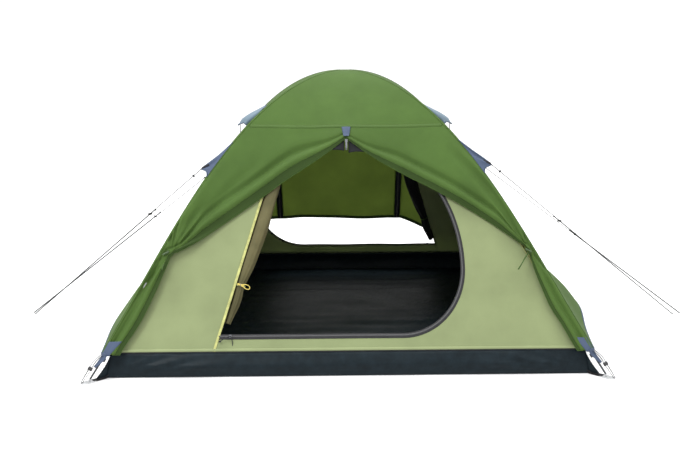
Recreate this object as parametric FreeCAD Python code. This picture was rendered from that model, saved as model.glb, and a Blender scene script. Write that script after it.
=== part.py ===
import FreeCAD, Part
import math
import os

from FreeCAD import Matrix, Rotation, Vector

# Three-person dome tent on two crossed poles.  Millimetres, +Z up.
# The origin is on the ground under the crossing of the poles; the open door faces -Y.

# Ground plan and arch
FLOOR_HALF_W = 1050.0          # groundsheet corner, along X
FLOOR_HALF_D = 950.0           # groundsheet corner, along Y
POLE_REACH = 1.06              # a pole foot stands this much further out than the floor corner
POLE_TOP = 1245.0              # axis of the lower pole at the crossing
ARCH_SQUARE = 0.11             # shape terms of the arch, see arch()
ARCH_FOURTH = 0.23

# Poles
POLE_R = 4.25
POLE_BORE_R = 3.1
POLE_STACK = 9.5               # the second pole crosses this far above the first
POLE_SECTIONS_PER_LEG = 4      # besides the section that spans the crossing
MIDDLE_SECTION_HALF = 215.0
FERRULE_R = 6.1
FERRULE_BORE_R = 5.5
FERRULE_LEN = 60.0
SHOCK_CORD_R = 1.5
CORD_END_Z = 62.0              # the shock cord is knotted above the pole pin

# Outer tent (fly)
FLY_HALF_W = 1068.0
FLY_HALF_D = 968.0
FLY_TOP = 1268.0
FLY_SKIN = 2.0
ROOF_SEAM_Z = 1030.0
HEM_CORNER_Z = 108.0
SIDE_HEM_Z = 205.0
REAR_HEM_Z = 350.0             # level part of the rear hem, between the two zips
REAR_HEM_BENDS = (340.0, (470.0, 275.0))  # end of the level part, then a point lower down
FLAP_ZIP_TOP_Z = 976.0
FLAP_TIE = (-778.0, 503.0)     # x and z of the point where the left flap is tied back

# Inner tent
INNER_HALF_W = 1035.0
INNER_HALF_D = 936.0
INNER_TOP = 1208.0
INNER_SKIN = 2.0
CROWN_HALF = 30.0              # half side of the square patch at the very top
TUB_Z = 105.0
TUB_SKIN = 2.0

# D-shaped inner doors, in the plane seen from outside (x to the right, z up)
DOOR_SILL_Z = 165.0
DOOR_HINGE_X = -562.0          # where the hinge edge meets the sill
DOOR_HINGE_LEAN = 0.32         # the hinge edge leans in by this much per unit of height
DOOR_CORNER_R = 270.0
DOOR_CORNER_X = 240.0
DOOR_ARCH_R = 587.0
ZIP_OUT = 12.0                 # tape width outside and inside the line of the teeth
ZIP_IN = 8.0
ZIP_THICK = 1.5

# Corner hardware, measured outward along the diagonal
CORNER_R = math.hypot(FLOOR_HALF_W, FLOOR_HALF_D)
FOOT_R = CORNER_R * POLE_REACH
PLATE_THICK = 2.5
PLATE_WIDTH = 34.0
PLATE_INNER = CORNER_R + 52.0
PLATE_LEN = 60.0
PEG_BORE_R = 7.0
STRAP_WIDTH = 24.0
STRAP_SKIN = 1.5
PIN_R = 2.4
PIN_LEN = 46.0

# Guylines
GUY_R = 1.25
GUY_SPACING = 8.5              # between the standing line and the part that returns
RUNNER_BORE_R = 1.9
RUNNER_SIZE = (26.0, 9.0, 5.0)
TAIL_LEN = 38.0

CLIP_R = 8.0
CLIP_WIDTH = 18.0
CLIP_PLACES = ((0.5,), (0.5,), (0.5,), (0.33, 0.78))  # along each pole section of a leg

GAP = 0.4                      # air between pieces that only lie next to each other
FAR = 1500.0


def save(name, shapes):
    solids = []
    for shape in shapes:
        solids.extend(shape.Solids)
    for solid in solids:
        if not solid.isValid():
            print("NOT VALID", name)
    result = solids[0] if len(solids) == 1 else Part.makeCompound(solids)
    result.exportStep("parts/" + name + ".step")
    print(name, len(solids), "solid(s)", round(sum(s.Volume for s in solids) / 1000.0, 1), "cm3")


def turned(shape, degrees):
    copy = shape.copy()
    copy.rotate(Vector(0, 0, 0), Vector(0, 0, 1), degrees)
    return copy


def mirrored_x(shape):
    return shape.mirror(Vector(0, 0, 0), Vector(1, 0, 0))


def prism(points, direction):
    wire = Part.makePolygon(list(points) + [points[0]])
    return Part.Face(wire).extrude(direction)


def framed(shape, origin, x_axis, z_axis):
    """A shape drawn at the origin, moved so that its X and Z axes follow the given directions."""
    z_unit = Vector(z_axis).normalize()
    x_unit = Vector(x_axis)
    x_unit = (x_unit - z_unit * x_unit.dot(z_unit)).normalize()
    y_unit = z_unit.cross(x_unit)
    matrix = Matrix(x_unit.x, y_unit.x, z_unit.x, origin.x,
                    x_unit.y, y_unit.y, z_unit.y, origin.y,
                    x_unit.z, y_unit.z, z_unit.z, origin.z,
                    0, 0, 0, 1)
    copy = shape.copy()
    copy.Placement = FreeCAD.Placement(matrix).multiply(copy.Placement)
    return copy


# ---------------------------------------------------------------- the arch

def arch(t, top):
    """Height of the dome at the fraction t of the way from the centre to the floor corner."""
    u2 = (t / POLE_REACH) ** 2
    return top * (1.0 - u2) * (1.0 - ARCH_SQUARE * u2 - ARCH_FOURTH * u2 * u2)


def arch_t(z, top):
    """The fraction t at which the dome is z high."""
    low = 0.0
    high = POLE_REACH
    for _ in range(60):
        middle = (low + high) / 2.0
        if arch(middle, top) > z:
            low = middle
        else:
            high = middle
    return low


# ---------------------------------------------------------------- fabric panels

def profile_strip(half_run, top, skin, z_low, z_high, outward=0.0):
    """Section of one side of the dome in the YZ plane, for the side that faces -Y."""
    t_high = arch_t(z_high, top) if z_high < top else 0.0
    t_low = arch_t(z_low, top)
    steps = 10
    outer = []
    inner = []
    for i in range(steps + 1):
        t = t_high + (t_low - t_high) * i / steps
        y = -half_run * t
        z = arch(t, top)
        slope = (arch(t + 0.001, top) - arch(max(t - 0.001, 0.0), top)) / (t + 0.001 - max(t - 0.001, 0.0))
        normal = Vector(0, slope / half_run, 1.0).normalize()
        outer.append(Vector(0, y, z) + normal * outward)
        inner.append(Vector(0, y, z) + normal * (outward - skin))
    outer_curve = Part.BSplineCurve()
    outer_curve.interpolate(outer)
    inner_curve = Part.BSplineCurve()
    inner_curve.interpolate(inner)
    edges = [outer_curve.toShape(),
             Part.makeLine(outer[-1], inner[-1]),
             inner_curve.toShape(),
             Part.makeLine(inner[0], outer[0])]
    return Part.Face(Part.Wire(Part.__sortEdges__(edges)))


def wedge(half_w, half_d):
    """The part of the plan that belongs to the side that faces -Y."""
    far = 1.3
    corners = [Vector(0, 0, -50), Vector(-far * half_w, -far * half_d, -50),
               Vector(far * half_w, -far * half_d, -50)]
    return prism(corners, Vector(0, 0, FAR))


def panel(half_w, half_d, top, skin, z_low, z_high, outward=0.0):
    strip = profile_strip(half_d, top, skin, z_low, z_high, outward)
    strip.translate(Vector(-FAR, 0, 0))
    sheet = strip.extrude(Vector(2 * FAR, 0, 0))
    return sheet.common(wedge(half_w, half_d))


def above_arc(half_w, corner_z, middle_z):
    """Everything above an arched hem line, for the side that faces -Y."""
    left = Vector(-half_w, 0, corner_z)
    right = Vector(half_w, 0, corner_z)
    arc = Part.Arc(left, Vector(0, 0, middle_z), right).toShape()
    up = Vector(0, 0, FAR)
    sides = [Part.makeLine(right, right + up), Part.makeLine(right + up, left + up),
             Part.makeLine(left + up, left)]
    return Part.Face(Part.Wire([arc] + sides)).extrude(Vector(0, -FAR, 0))


def above_bent_hem(half_w, corner_z):
    """Everything above the rear hem, which is level in the middle and drops to the corners."""
    level_x, (bend_x, bend_z) = REAR_HEM_BENDS
    half = [(level_x, REAR_HEM_Z), (bend_x, bend_z), (half_w, corner_z), (half_w, FAR)]
    points = [Vector(x, 0, z) for x, z in half]
    return prism(points + [Vector(-p.x, 0, p.z) for p in reversed(points)], Vector(0, -FAR, 0))


def door_outline():
    """Closed D: sill, round corner, big arch, leaning hinge edge."""
    corner_centre = Vector(DOOR_CORNER_X, 0, DOOR_SILL_Z + DOOR_CORNER_R)
    right_x = DOOR_CORNER_X + DOOR_CORNER_R
    arch_centre = Vector(right_x - DOOR_ARCH_R, 0, corner_centre.z)
    start = Vector(DOOR_HINGE_X, 0, DOOR_SILL_Z)
    lean = Vector(DOOR_HINGE_LEAN, 0, 1).normalize()
    from_centre = start - arch_centre
    along = from_centre.dot(lean)
    reach = -along + math.sqrt(along ** 2 - from_centre.dot(from_centre) + DOOR_ARCH_R ** 2)
    hinge_top = start + lean * reach
    diagonal = math.sqrt(0.5)
    corner_middle = corner_centre + Vector(diagonal, 0, -diagonal) * DOOR_CORNER_R
    arch_middle = arch_centre + Vector(diagonal, 0, diagonal) * DOOR_ARCH_R
    sill_end = Vector(DOOR_CORNER_X, 0, DOOR_SILL_Z)
    right = Vector(right_x, 0, corner_centre.z)
    edges = [Part.makeLine(start, sill_end),
             Part.Arc(sill_end, corner_middle, right).toShape(),
             Part.Arc(right, arch_middle, hinge_top).toShape(),
             Part.makeLine(hinge_top, start)]
    return Part.Wire(edges)


def hinge_point(z):
    """x of the door's hinge edge at the height z."""
    return DOOR_HINGE_X + DOOR_HINGE_LEAN * (z - DOOR_SILL_Z)


def door_prism(grow=0.0):
    wire = door_outline()
    if grow:
        wire = wire.makeOffset2D(grow)
    return Part.Face(wire).extrude(Vector(0, -FAR, 0))


def inner_panel(half_w, half_d):
    whole = panel(half_w, half_d, INNER_TOP, INNER_SKIN, TUB_Z + INNER_SKIN, INNER_TOP)
    crown = Part.makeBox(2 * CROWN_HALF, 2 * CROWN_HALF, 200, Vector(-CROWN_HALF, -CROWN_HALF, INNER_TOP - 100))
    return whole.cut(crown)


def inner_walls():
    ended = inner_panel(INNER_HALF_W, INNER_HALF_D).cut(door_prism())
    side = inner_panel(INNER_HALF_D, INNER_HALF_W)
    save("inner_front_panel", [ended])
    save("inner_rear_panel", [turned(ended, 180)])
    save("inner_right_panel", [turned(side, 90)])
    save("inner_left_panel", [turned(side, -90)])
    crown = Part.makeBox(2 * CROWN_HALF, 2 * CROWN_HALF, INNER_SKIN,
                         Vector(-CROWN_HALF, -CROWN_HALF, INNER_TOP - INNER_SKIN))
    save("inner_crown_patch", [crown])


def groundsheet():
    """Bathtub floor whose walls lean in to meet the inner tent."""
    t = arch_t(TUB_Z, INNER_TOP)

    def ring(half_w, half_d, z):
        corners = [Vector(-half_w, -half_d, z), Vector(half_w, -half_d, z),
                   Vector(half_w, half_d, z), Vector(-half_w, half_d, z)]
        return Part.makePolygon(corners + [corners[0]])

    lean_w = (FLOOR_HALF_W - INNER_HALF_W * t) / TUB_Z
    lean_d = (FLOOR_HALF_D - INNER_HALF_D * t) / TUB_Z

    def at(z, inset):
        return ring(FLOOR_HALF_W - lean_w * z - inset, FLOOR_HALF_D - lean_d * z - inset, z)

    outside = Part.makeLoft([at(0, 0), at(TUB_Z, 0)], True, True)
    inset = TUB_SKIN * 1.15
    inside = Part.makeLoft([at(TUB_SKIN, inset), at(TUB_Z + 10, inset)], True, True)
    save("groundsheet", [outside.cut(inside)])


def fly_front_region():
    """The left flap as it hangs when tied back, in the XZ plane."""
    tie_x, tie_z = FLAP_TIE
    points = [(0, ROOF_SEAM_Z), (0, FLAP_ZIP_TOP_Z), (-279, 812), (-523, 652),
              (tie_x + 50, tie_z + 22), (tie_x, tie_z - 14), (tie_x - 62, 350), (tie_x - 178, 152),
              (tie_x - 204, HEM_CORNER_Z), (-1150, HEM_CORNER_Z), (-1150, ROOF_SEAM_Z)]
    return prism([Vector(x, 0, z) for x, z in points], Vector(0, -FAR, 0))


def roof_block(half_run, depth):
    """Everything under the roof as seen along X, at the given depth below its outer face."""
    reach = arch_t(ROOF_SEAM_Z - 20.0, FLY_TOP)
    points = []
    for i in range(-10, 11):
        t = abs(reach * i / 10)
        slope = (arch(t + 0.001, FLY_TOP) - arch(max(t - 0.001, 0.0), FLY_TOP)) / (t + 0.001 - max(t - 0.001, 0.0))
        side = 1 if i >= 0 else -1
        normal = Vector(0, -side * slope / half_run, 1.0).normalize() if i else Vector(0, 0, 1)
        points.append(Vector(-FAR, side * half_run * t, arch(t, FLY_TOP)) - normal * depth)
    curve = Part.BSplineCurve()
    curve.interpolate(points)
    outline = Part.Wire([curve.toShape(), Part.makeLine(points[-1], points[0])])
    return Part.Face(outline).extrude(Vector(2 * FAR, 0, 0))


def under_roof(depth):
    """The space under the four roof faces, which meet in ridges over the poles."""
    return roof_block(FLY_HALF_D, depth).common(turned(roof_block(FLY_HALF_W, depth), 90))


def above(z):
    return Part.makeBox(2 * FAR, 2 * FAR, FAR, Vector(-FAR, -FAR, z))


def fly():
    def quarter(half_w, half_d, z_low, z_high):
        return panel(half_w, half_d, FLY_TOP, FLY_SKIN, z_low, z_high)

    save("fly_roof", [under_roof(0.0).cut(under_roof(FLY_SKIN)).common(above(ROOF_SEAM_Z))])

    low = HEM_CORNER_Z
    end = quarter(FLY_HALF_W, FLY_HALF_D, low, ROOF_SEAM_Z - GAP)
    flap = end.common(fly_front_region())
    save("fly_front_flap_left", [flap])
    save("fly_front_flap_right", [mirrored_x(flap)])
    rear = end.common(above_bent_hem(FLY_HALF_W + 10, low - 2))
    save("fly_rear_panel", [turned(rear, 180)])

    side = quarter(FLY_HALF_D, FLY_HALF_W, low, ROOF_SEAM_Z - GAP)
    side = side.common(above_arc(FLY_HALF_D + 10, low - 2, SIDE_HEM_Z))
    save("fly_right_panel", [turned(side.cut(vent_opening()), 90)])
    save("fly_left_panel", [turned(side.cut(vent_opening()), -90)])


# ---------------------------------------------------------------- side vents
# Drawn for the side that faces -Y and turned into place.

VENT_HALF_W = 95.0
VENT_LOW_Z = 962.0
VENT_HIGH_Z = 1018.0
HOOD_HINGE_Z = 1084.0
HOOD_LEN = 160.0
HOOD_DROP = 33.0               # degrees below level
HOOD_SKIN = 2.0
HOOD_HALF_W = 150.0
HOOD_TIP_HALF_W = 95.0
PROP_LEN = 44.0
PROP_WIDTH = 12.0
PROP_SKIN = 2.0
PROP_RISE = 40.0               # degrees between the prop and the fabric under it


def vent_opening():
    return Part.makeBox(2 * VENT_HALF_W, FAR, VENT_HIGH_Z - VENT_LOW_Z, Vector(-VENT_HALF_W, -FAR, VENT_LOW_Z))


def side_surface(z, lift=0.0):
    """Point on the outside of the fly at mid-width, and its outward normal, for the side facing -Y."""
    t = arch_t(z, FLY_TOP)
    slope = (arch(t + 0.001, FLY_TOP) - arch(t - 0.001, FLY_TOP)) / 0.002
    normal = Vector(0, slope / FLY_HALF_W, 1.0).normalize()
    return Vector(0, -FLY_HALF_W * t, z) + normal * lift, normal


def hood_hinge():
    point, _ = side_surface(HOOD_HINGE_Z, HOOD_SKIN / 2 + 1.0)
    return point


def hood():
    drop = math.radians(HOOD_DROP)
    along = Vector(0, -math.cos(drop), -math.sin(drop))
    across = Vector(1, 0, 0)
    normal = across.cross(along) * -1
    if normal.z < 0:
        normal = normal * -1
    hinge = hood_hinge()
    root = hinge - normal * (HOOD_SKIN / 2)
    middle_len = HOOD_LEN
    corner_len = HOOD_LEN - 42
    start_left = root - across * HOOD_HALF_W
    start_right = root + across * HOOD_HALF_W
    tip_left = root - across * HOOD_TIP_HALF_W + along * corner_len
    tip_right = root + across * HOOD_TIP_HALF_W + along * corner_len
    brim = Part.Arc(tip_right, root + along * middle_len, tip_left).toShape()
    edges = [Part.makeLine(start_left, start_right), Part.makeLine(start_right, tip_right), brim,
             Part.makeLine(tip_left, start_left)]
    return Part.Face(Part.Wire(edges)).extrude(normal * HOOD_SKIN)


def prop_hinge():
    point, normal = side_surface(VENT_LOW_Z - 6.0, 2.2)
    return point, normal


def prop():
    foot, normal = prop_hinge()
    up_slope = Vector(1, 0, 0).cross(normal)
    if up_slope.z < 0:
        up_slope = up_slope * -1
    rise = math.radians(PROP_RISE)
    along = up_slope * math.cos(rise) + normal * math.sin(rise)
    thick = Vector(1, 0, 0).cross(along).normalize()
    corner = foot - Vector(PROP_WIDTH / 2, 0, 0) - thick * (PROP_SKIN / 2)
    far = along * PROP_LEN
    base = [corner, corner + Vector(PROP_WIDTH, 0, 0), corner + Vector(PROP_WIDTH, 0, 0) + far, corner + far]
    return prism(base, thick * PROP_SKIN)


def vent_mesh():
    strip = profile_strip(FLY_HALF_W, FLY_TOP, 1.0, VENT_LOW_Z - 12, VENT_HIGH_Z + 12, -FLY_SKIN - GAP)
    strip.translate(Vector(-VENT_HALF_W - 12, 0, 0))
    return strip.extrude(Vector(2 * VENT_HALF_W + 24, 0, 0))


def vents():
    save("vent_hood_right", [turned(hood(), 90)])
    save("vent_hood_left", [turned(hood(), -90)])
    save("vent_prop_right", [turned(prop(), 90)])
    save("vent_prop_left", [turned(prop(), -90)])
    save("vent_meshes", [turned(vent_mesh(), 90), turned(vent_mesh(), -90)])
    hinge = hood_hinge()
    foot, _ = prop_hinge()
    print("right hood hinge x z", round(-hinge.y, 2), round(hinge.z, 2))
    print("right prop hinge x z", round(-foot.y, 2), round(foot.z, 2))


# ---------------------------------------------------------------- poles

def arch_point(r, top):
    return Vector(r, 0, arch(abs(r) / CORNER_R, top))


def leg_stations(top):
    """Radii of the section joints on one leg, evenly spaced along the pole."""
    steps = 400
    end_r = FOOT_R - 12.0
    radii = [MIDDLE_SECTION_HALF + (end_r - MIDDLE_SECTION_HALF) * i / steps for i in range(steps + 1)]
    lengths = [0.0]
    for a, b in zip(radii, radii[1:]):
        lengths.append(lengths[-1] + (arch_point(b, top) - arch_point(a, top)).Length)
    stations = []
    for k in range(POLE_SECTIONS_PER_LEG + 1):
        wanted = lengths[-1] * k / POLE_SECTIONS_PER_LEG
        index = min(range(steps + 1), key=lambda i: abs(lengths[i] - wanted))
        stations.append(radii[index])
    return stations


def pole_arcs(top):
    """Tangent arcs from the crossing to the foot, as (start, middle, end, start tangent) in the XZ plane."""
    stations = leg_stations(top)
    first = [Vector(-stations[0], 0, arch_point(stations[0], top).z), Vector(0, 0, arch_point(0, top).z),
             arch_point(stations[0], top)]
    arcs = [(first[0], first[1], first[2])]
    chord = (first[2] - first[1])
    unit = Vector(chord).normalize()
    tangent = unit * (2 * unit.x) - Vector(1, 0, 0)
    for a, b in zip(stations, stations[1:]):
        start = arch_point(a, top)
        end = arch_point(b, top)
        chord = end - start
        unit = Vector(chord).normalize()
        side = tangent - unit * tangent.dot(unit)
        turn = math.atan2(side.Length, tangent.dot(unit))
        bulge = Vector(0, 0, 0) if side.Length < 1e-9 else side.normalize() * (chord.Length / 2 * math.tan(turn / 2))
        middle = start + chord * 0.5 + bulge
        arcs.append((start, middle, end))
        tangent = unit * (2 * tangent.dot(unit)) - tangent
    return arcs


def swept(arc_points, outer_r, inner_r):
    """A round bar or tube along an arc."""
    start, _, end = arc_points
    centre = Part.Arc(*arc_points).toShape().Curve.Center
    axis = (start - centre).cross(end - centre).normalize()
    tangent = axis.cross(start - centre).normalize()
    angle = math.degrees((start - centre).getAngle(end - centre))
    outline = Part.Face(Part.Wire(Part.makeCircle(outer_r, start, tangent)))
    if inner_r:
        outline = outline.cut(Part.Face(Part.Wire(Part.makeCircle(inner_r, start, tangent))))
    return outline.revolve(centre, axis, angle)


def mirrored_arc(points):
    start, middle, end = points
    flip = [Vector(-p.x, p.y, p.z) for p in (end, middle, start)]
    return tuple(flip)


def to_diagonal(shape, sign):
    """Turn a shape from the XZ plane onto one diagonal of the plan."""
    angle = math.degrees(math.atan2(sign * FLOOR_HALF_D, FLOOR_HALF_W))
    return turned(shape, angle)


def pole(top, sign):
    arcs = pole_arcs(top)
    sections = [swept(arcs[0], POLE_R, POLE_BORE_R)]
    cords = [swept(arcs[0], SHOCK_CORD_R, 0)]
    ferrules = []
    for arc in arcs[1:]:
        for points in (arc, mirrored_arc(arc)):
            sections.append(swept(points, POLE_R, POLE_BORE_R))
            cords.append(swept(points, SHOCK_CORD_R, 0))
    for arc in arcs[:-1]:
        joint = arc[2]
        follow = arcs[arcs.index(arc) + 1]
        direction = (follow[1] - joint).normalize() + (joint - arc[1]).normalize()
        direction = direction.normalize()
        start = joint - direction * (FERRULE_LEN / 2)
        ring = Part.makeCylinder(FERRULE_R, FERRULE_LEN, start, direction)
        ring = ring.cut(Part.makeCylinder(FERRULE_BORE_R, FERRULE_LEN, start, direction))
        ferrules.extend([ring, mirrored_x(ring)])
    below_cord = Part.makeBox(4 * FOOT_R, 40, CORD_END_Z, Vector(-2 * FOOT_R, -20, 0))
    cords = [cord.cut(below_cord) for cord in cords]
    return [[to_diagonal(s, sign) for s in group] for group in (sections, ferrules, cords)]


def poles():
    lower = pole(POLE_TOP, 1)
    upper = pole(POLE_TOP + POLE_STACK, -1)
    save("pole_lower", lower[0])
    save("pole_upper", upper[0])
    save("pole_ferrules", lower[1] + upper[1])
    save("pole_shock_cords", lower[2] + upper[2])


def leg_frame(corner):
    """Sign of the diagonal and whether the leg is on its +X half, for a corner such as (-1, -1)."""
    sign = corner[0] * corner[1]
    return sign, corner[0] > 0


def on_leg(shape, corner):
    """A shape drawn in the XZ plane with +X outward, placed on the leg over the given corner."""
    sign, positive = leg_frame(corner)
    placed = shape if positive else turned(shape, 180)
    return to_diagonal(placed, sign)


CORNERS = {"front_left": (-1, -1), "front_right": (1, -1), "rear_left": (-1, 1), "rear_right": (1, 1)}


def leg_top(corner):
    return POLE_TOP if leg_frame(corner)[0] > 0 else POLE_TOP + POLE_STACK


def clip(at, tangent):
    """A hook round the pole on a webbing tab that reaches down to the ridge of the inner tent."""
    inner_r = math.hypot(INNER_HALF_W, INNER_HALF_D)
    inward = Vector(tangent.z, 0, -tangent.x)
    reach = 9.0
    while (at + inward * reach).z > arch((at + inward * reach).x / inner_r, INNER_TOP) + 2.0:
        reach += 0.5
    half = CLIP_WIDTH / 2
    ring = Part.makeCylinder(CLIP_R, CLIP_WIDTH, at - tangent * half, tangent)
    tab = Part.makeBox(CLIP_WIDTH, 1.6, reach - CLIP_R + 1.0, Vector(-half, -0.8, CLIP_R - 1.0))
    hook = ring.fuse(framed(tab, at, tangent, inward))
    return hook.cut(Part.makeCylinder(POLE_R + 0.6, CLIP_WIDTH, at - tangent * half, tangent))


def pole_clips():
    """Plastic hooks that hang the inner tent from the poles, and the loop under the crossing."""
    clips = []
    for corner in CORNERS.values():
        for arc, fractions in zip(pole_arcs(leg_top(corner))[1:], CLIP_PLACES):
            edge = Part.Arc(*arc).toShape()
            for fraction in fractions:
                parameter = edge.getParameterByLength(edge.Length * fraction)
                hook = clip(edge.valueAt(parameter), edge.tangentAt(parameter))
                clips.append(on_leg(hook, corner))
    save("inner_pole_clips", clips)
    loop = Part.makeCylinder(16, 10, Vector(0, 0, INNER_TOP + 14))
    loop = loop.cut(Part.makeCylinder(6, 10, Vector(0, 0, INNER_TOP + 14)))
    stem = Part.makeBox(14, 1.6, 14, Vector(-7, 8, INNER_TOP))
    save("inner_apex_loop", [stem.fuse(loop)])


# ---------------------------------------------------------------- corners

def corner_hardware():
    plates = []
    straps = []
    pins = []
    cords = []
    hooks = []
    plate_z = STRAP_SKIN + GAP
    bore_x = PLATE_INNER + PLATE_LEN - PEG_BORE_R - 8.0
    half = PLATE_WIDTH / 2
    body = Part.makeBox(PLATE_LEN - half, PLATE_WIDTH, PLATE_THICK, Vector(PLATE_INNER, -half, plate_z))
    nose = Part.makeCylinder(half, PLATE_THICK, Vector(PLATE_INNER + PLATE_LEN - half, 0, plate_z))
    slot = Part.makeBox(5, STRAP_WIDTH + 2, PLATE_THICK, Vector(PLATE_INNER + 5, -STRAP_WIDTH / 2 - 1, plate_z))
    bore = Part.makeCylinder(PEG_BORE_R, PLATE_THICK, Vector(bore_x, 0, plate_z))
    plate = body.fuse(nose).removeSplitter().cut(slot).cut(bore)

    strap_end = PLATE_INNER + 5 + 4.2
    height = PLATE_THICK + 2 * (STRAP_SKIN + GAP)
    outer = Part.makeBox(strap_end - CORNER_R - 1, STRAP_WIDTH, height, Vector(CORNER_R + 1, -STRAP_WIDTH / 2, 0))
    inner = Part.makeBox(strap_end - CORNER_R - 1 - 2 * STRAP_SKIN, STRAP_WIDTH, height - 2 * STRAP_SKIN,
                         Vector(CORNER_R + 1 + STRAP_SKIN, -STRAP_WIDTH / 2, STRAP_SKIN))
    strap = outer.cut(inner)

    for corner in CORNERS.values():
        top = leg_top(corner)
        foot = Vector(bore_x - 17.0, 0, plate_z + PLATE_THICK)
        end = arch_point(FOOT_R - 12.0, top)
        tangent = (arch_point(FOOT_R - 12.0, top) - arch_point(FOOT_R - 40.0, top)).normalize()
        mouth = end + tangent * 1.0
        pin = Part.makeCylinder(PIN_R, PIN_LEN, mouth, tangent * -1)
        collar = Part.makeCylinder(4.5, 4.0, end + tangent * 0.5, tangent)
        stud = Part.makeCylinder(3.0, max(mouth.z - foot.z - 1.0, 2.0), Vector(end.x + 2.0, 0, foot.z))
        pins.append(on_leg(pin.fuse([collar, stud]), corner))
        plates.append(on_leg(plate, corner))
        straps.append(on_leg(strap, corner))
        fly_r = math.hypot(FLY_HALF_W, FLY_HALF_D)
        high = Vector(fly_r * arch_t(HEM_CORNER_Z, FLY_TOP) + 6.0, 0, HEM_CORNER_Z + 3)
        low = Vector(PLATE_INNER + PLATE_LEN + 2.0, 0, plate_z + PLATE_THICK + 2.0)
        down = low - high
        for side in (-9.0, 9.0):
            cord = Part.makeCylinder(1.5, down.Length, high + Vector(0, side, 0), down)
            cords.append(on_leg(cord, corner))
        middle = high + down * 0.5
        block = framed(Part.makeBox(8, 26, 16, Vector(-4, -13, -8)), middle, Vector(0, 0, 1).cross(Vector(0, 1, 0)), down)
        for side in (-9.0, 9.0):
            block = block.cut(Part.makeCylinder(1.7, down.Length, high + Vector(0, side, 0), down))
        hooks.append(on_leg(block, corner))
    save("corner_peg_plates", plates)
    save("corner_floor_straps", straps)
    save("corner_pole_pins", pins)
    save("fly_corner_elastics", cords)
    save("fly_corner_adjusters", hooks)
    print("peg bore radius from centre", round(bore_x, 2), "z", round(plate_z, 2))


# ---------------------------------------------------------------- guylines

# Where each line leaves the fly, and where its far loop lies on the ground
GUYS = {
    "front_left": (Vector(-664, -530, 845), Vector(-1636, -12, 9)),
    "front_right": (Vector(664, -540, 858), Vector(1698, -120, 9)),
    "rear_left": (Vector(-762, 622, 663), Vector(-1646, 12, 9)),
    "rear_right": (Vector(690, 558, 773), Vector(1737, -96, 9)),
}
RUNNER_FRACTION = {"front_left": 0.28, "front_right": 0.346, "rear_left": 0.335, "rear_right": 0.532}
WING_T = {"front_left": (0.505, 0.585), "front_right": (0.50, 0.58),
          "rear_left": (0.64, 0.72), "rear_right": (0.57, 0.65)}


def guy_axes(name):
    top, ground = GUYS[name]
    along = (ground - top).normalize()
    across = along.cross(Vector(0, 0, 1)).normalize()
    if across.y < 0:
        across = across * -1
    return top, ground, along, across


def runner_centre(name):
    top, ground, along, across = guy_axes(name)
    return top + (ground - top) * RUNNER_FRACTION[name]


def guyline(name):
    """The standing line to the ground, a turn round the place of a peg, and the part that returns."""
    top, ground, along, across = guy_axes(name)
    turn_r = GUY_SPACING / 2
    low = ground - along * turn_r
    back = low + across * GUY_SPACING
    runner = runner_centre(name) + across * GUY_SPACING
    tail_end = runner - along * TAIL_LEN
    edges = [Part.makeLine(top, low),
             Part.Arc(low, ground + across * turn_r, back).toShape(),
             Part.makeLine(back, tail_end)]
    path = Part.Wire(edges)
    circle = Part.Wire(Part.makeCircle(GUY_R, top, along))
    tube = path.makePipeShell([circle], True, False)
    length = path.Length
    print("guyline", name, "length", round(length), "turn radius", round(turn_r, 2),
          "volume ratio", round(tube.Volume / (math.pi * GUY_R ** 2 * length), 4))
    save("guyline_" + name, [tube])


def runner(name):
    """Flat bar with a hole for each part of the line."""
    top, ground, along, across = guy_axes(name)
    centre = runner_centre(name) + across * (GUY_SPACING / 2)
    long_side, wide_side, thick = RUNNER_SIZE
    bar = Part.makeBox(long_side, wide_side, thick, Vector(-long_side / 2, -wide_side / 2, -thick / 2))
    for side in (-1, 1):
        hole = Part.makeCylinder(RUNNER_BORE_R, thick, Vector(side * GUY_SPACING / 2, 0, -thick / 2))
        bar = bar.cut(hole)
    save("runner_" + name, [framed(bar, centre, across, along)])
    axis = along * -1
    print("runner", name, "up the line", round(axis.x, 4), round(axis.y, 4), round(axis.z, 4))


def ridge_point(t, corner, lift):
    """Point on the ridge of the fly over a pole."""
    return Vector(corner[0] * (FLY_HALF_W * t + lift), corner[1] * (FLY_HALF_D * t + lift), arch(t, FLY_TOP) + lift)


def guyout_wings():
    wings = []
    loops = []
    for name, corner in CORNERS.items():
        top, ground, along, across = guy_axes(name)
        high = ridge_point(WING_T[name][0], corner, 1.6)
        low = ridge_point(WING_T[name][1], corner, 1.6)
        tip = top - along * 12
        edge = (low - high).normalize()
        normal = edge.cross(tip - high).normalize()
        shoulder = tip + (high - tip).normalize() * 7
        shoulder_low = tip + (low - tip).normalize() * 7
        wings.append(prism([high, shoulder, shoulder_low, low], normal * 1.5))
        loop = Part.makeBox(9, 2.4, 11.5, Vector(-4.5, -1.2, -11.5))
        eye = Part.makeCylinder(2.0, 4, Vector(0, -2, -4.2), Vector(0, 1, 0))
        loops.append(framed(loop.cut(eye), top - along * 1.5, edge, along))
    save("guyout_wings", wings)
    save("guyout_loops", loops)


# ---------------------------------------------------------------- doors, zips and ties

def front_surface(z, half_d, top, lift):
    """Point at mid-width on the side facing -Y, its outward normal and the direction up the slope."""
    t = arch_t(z, top)
    slope = (arch(t + 0.001, top) - arch(t - 0.001, top)) / 0.002
    normal = Vector(0, slope / half_d, 1.0).normalize()
    up = Vector(1, 0, 0).cross(normal)
    if up.z < 0:
        up = up * -1
    return Vector(0, -half_d * t, z) + normal * lift, normal, up


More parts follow.
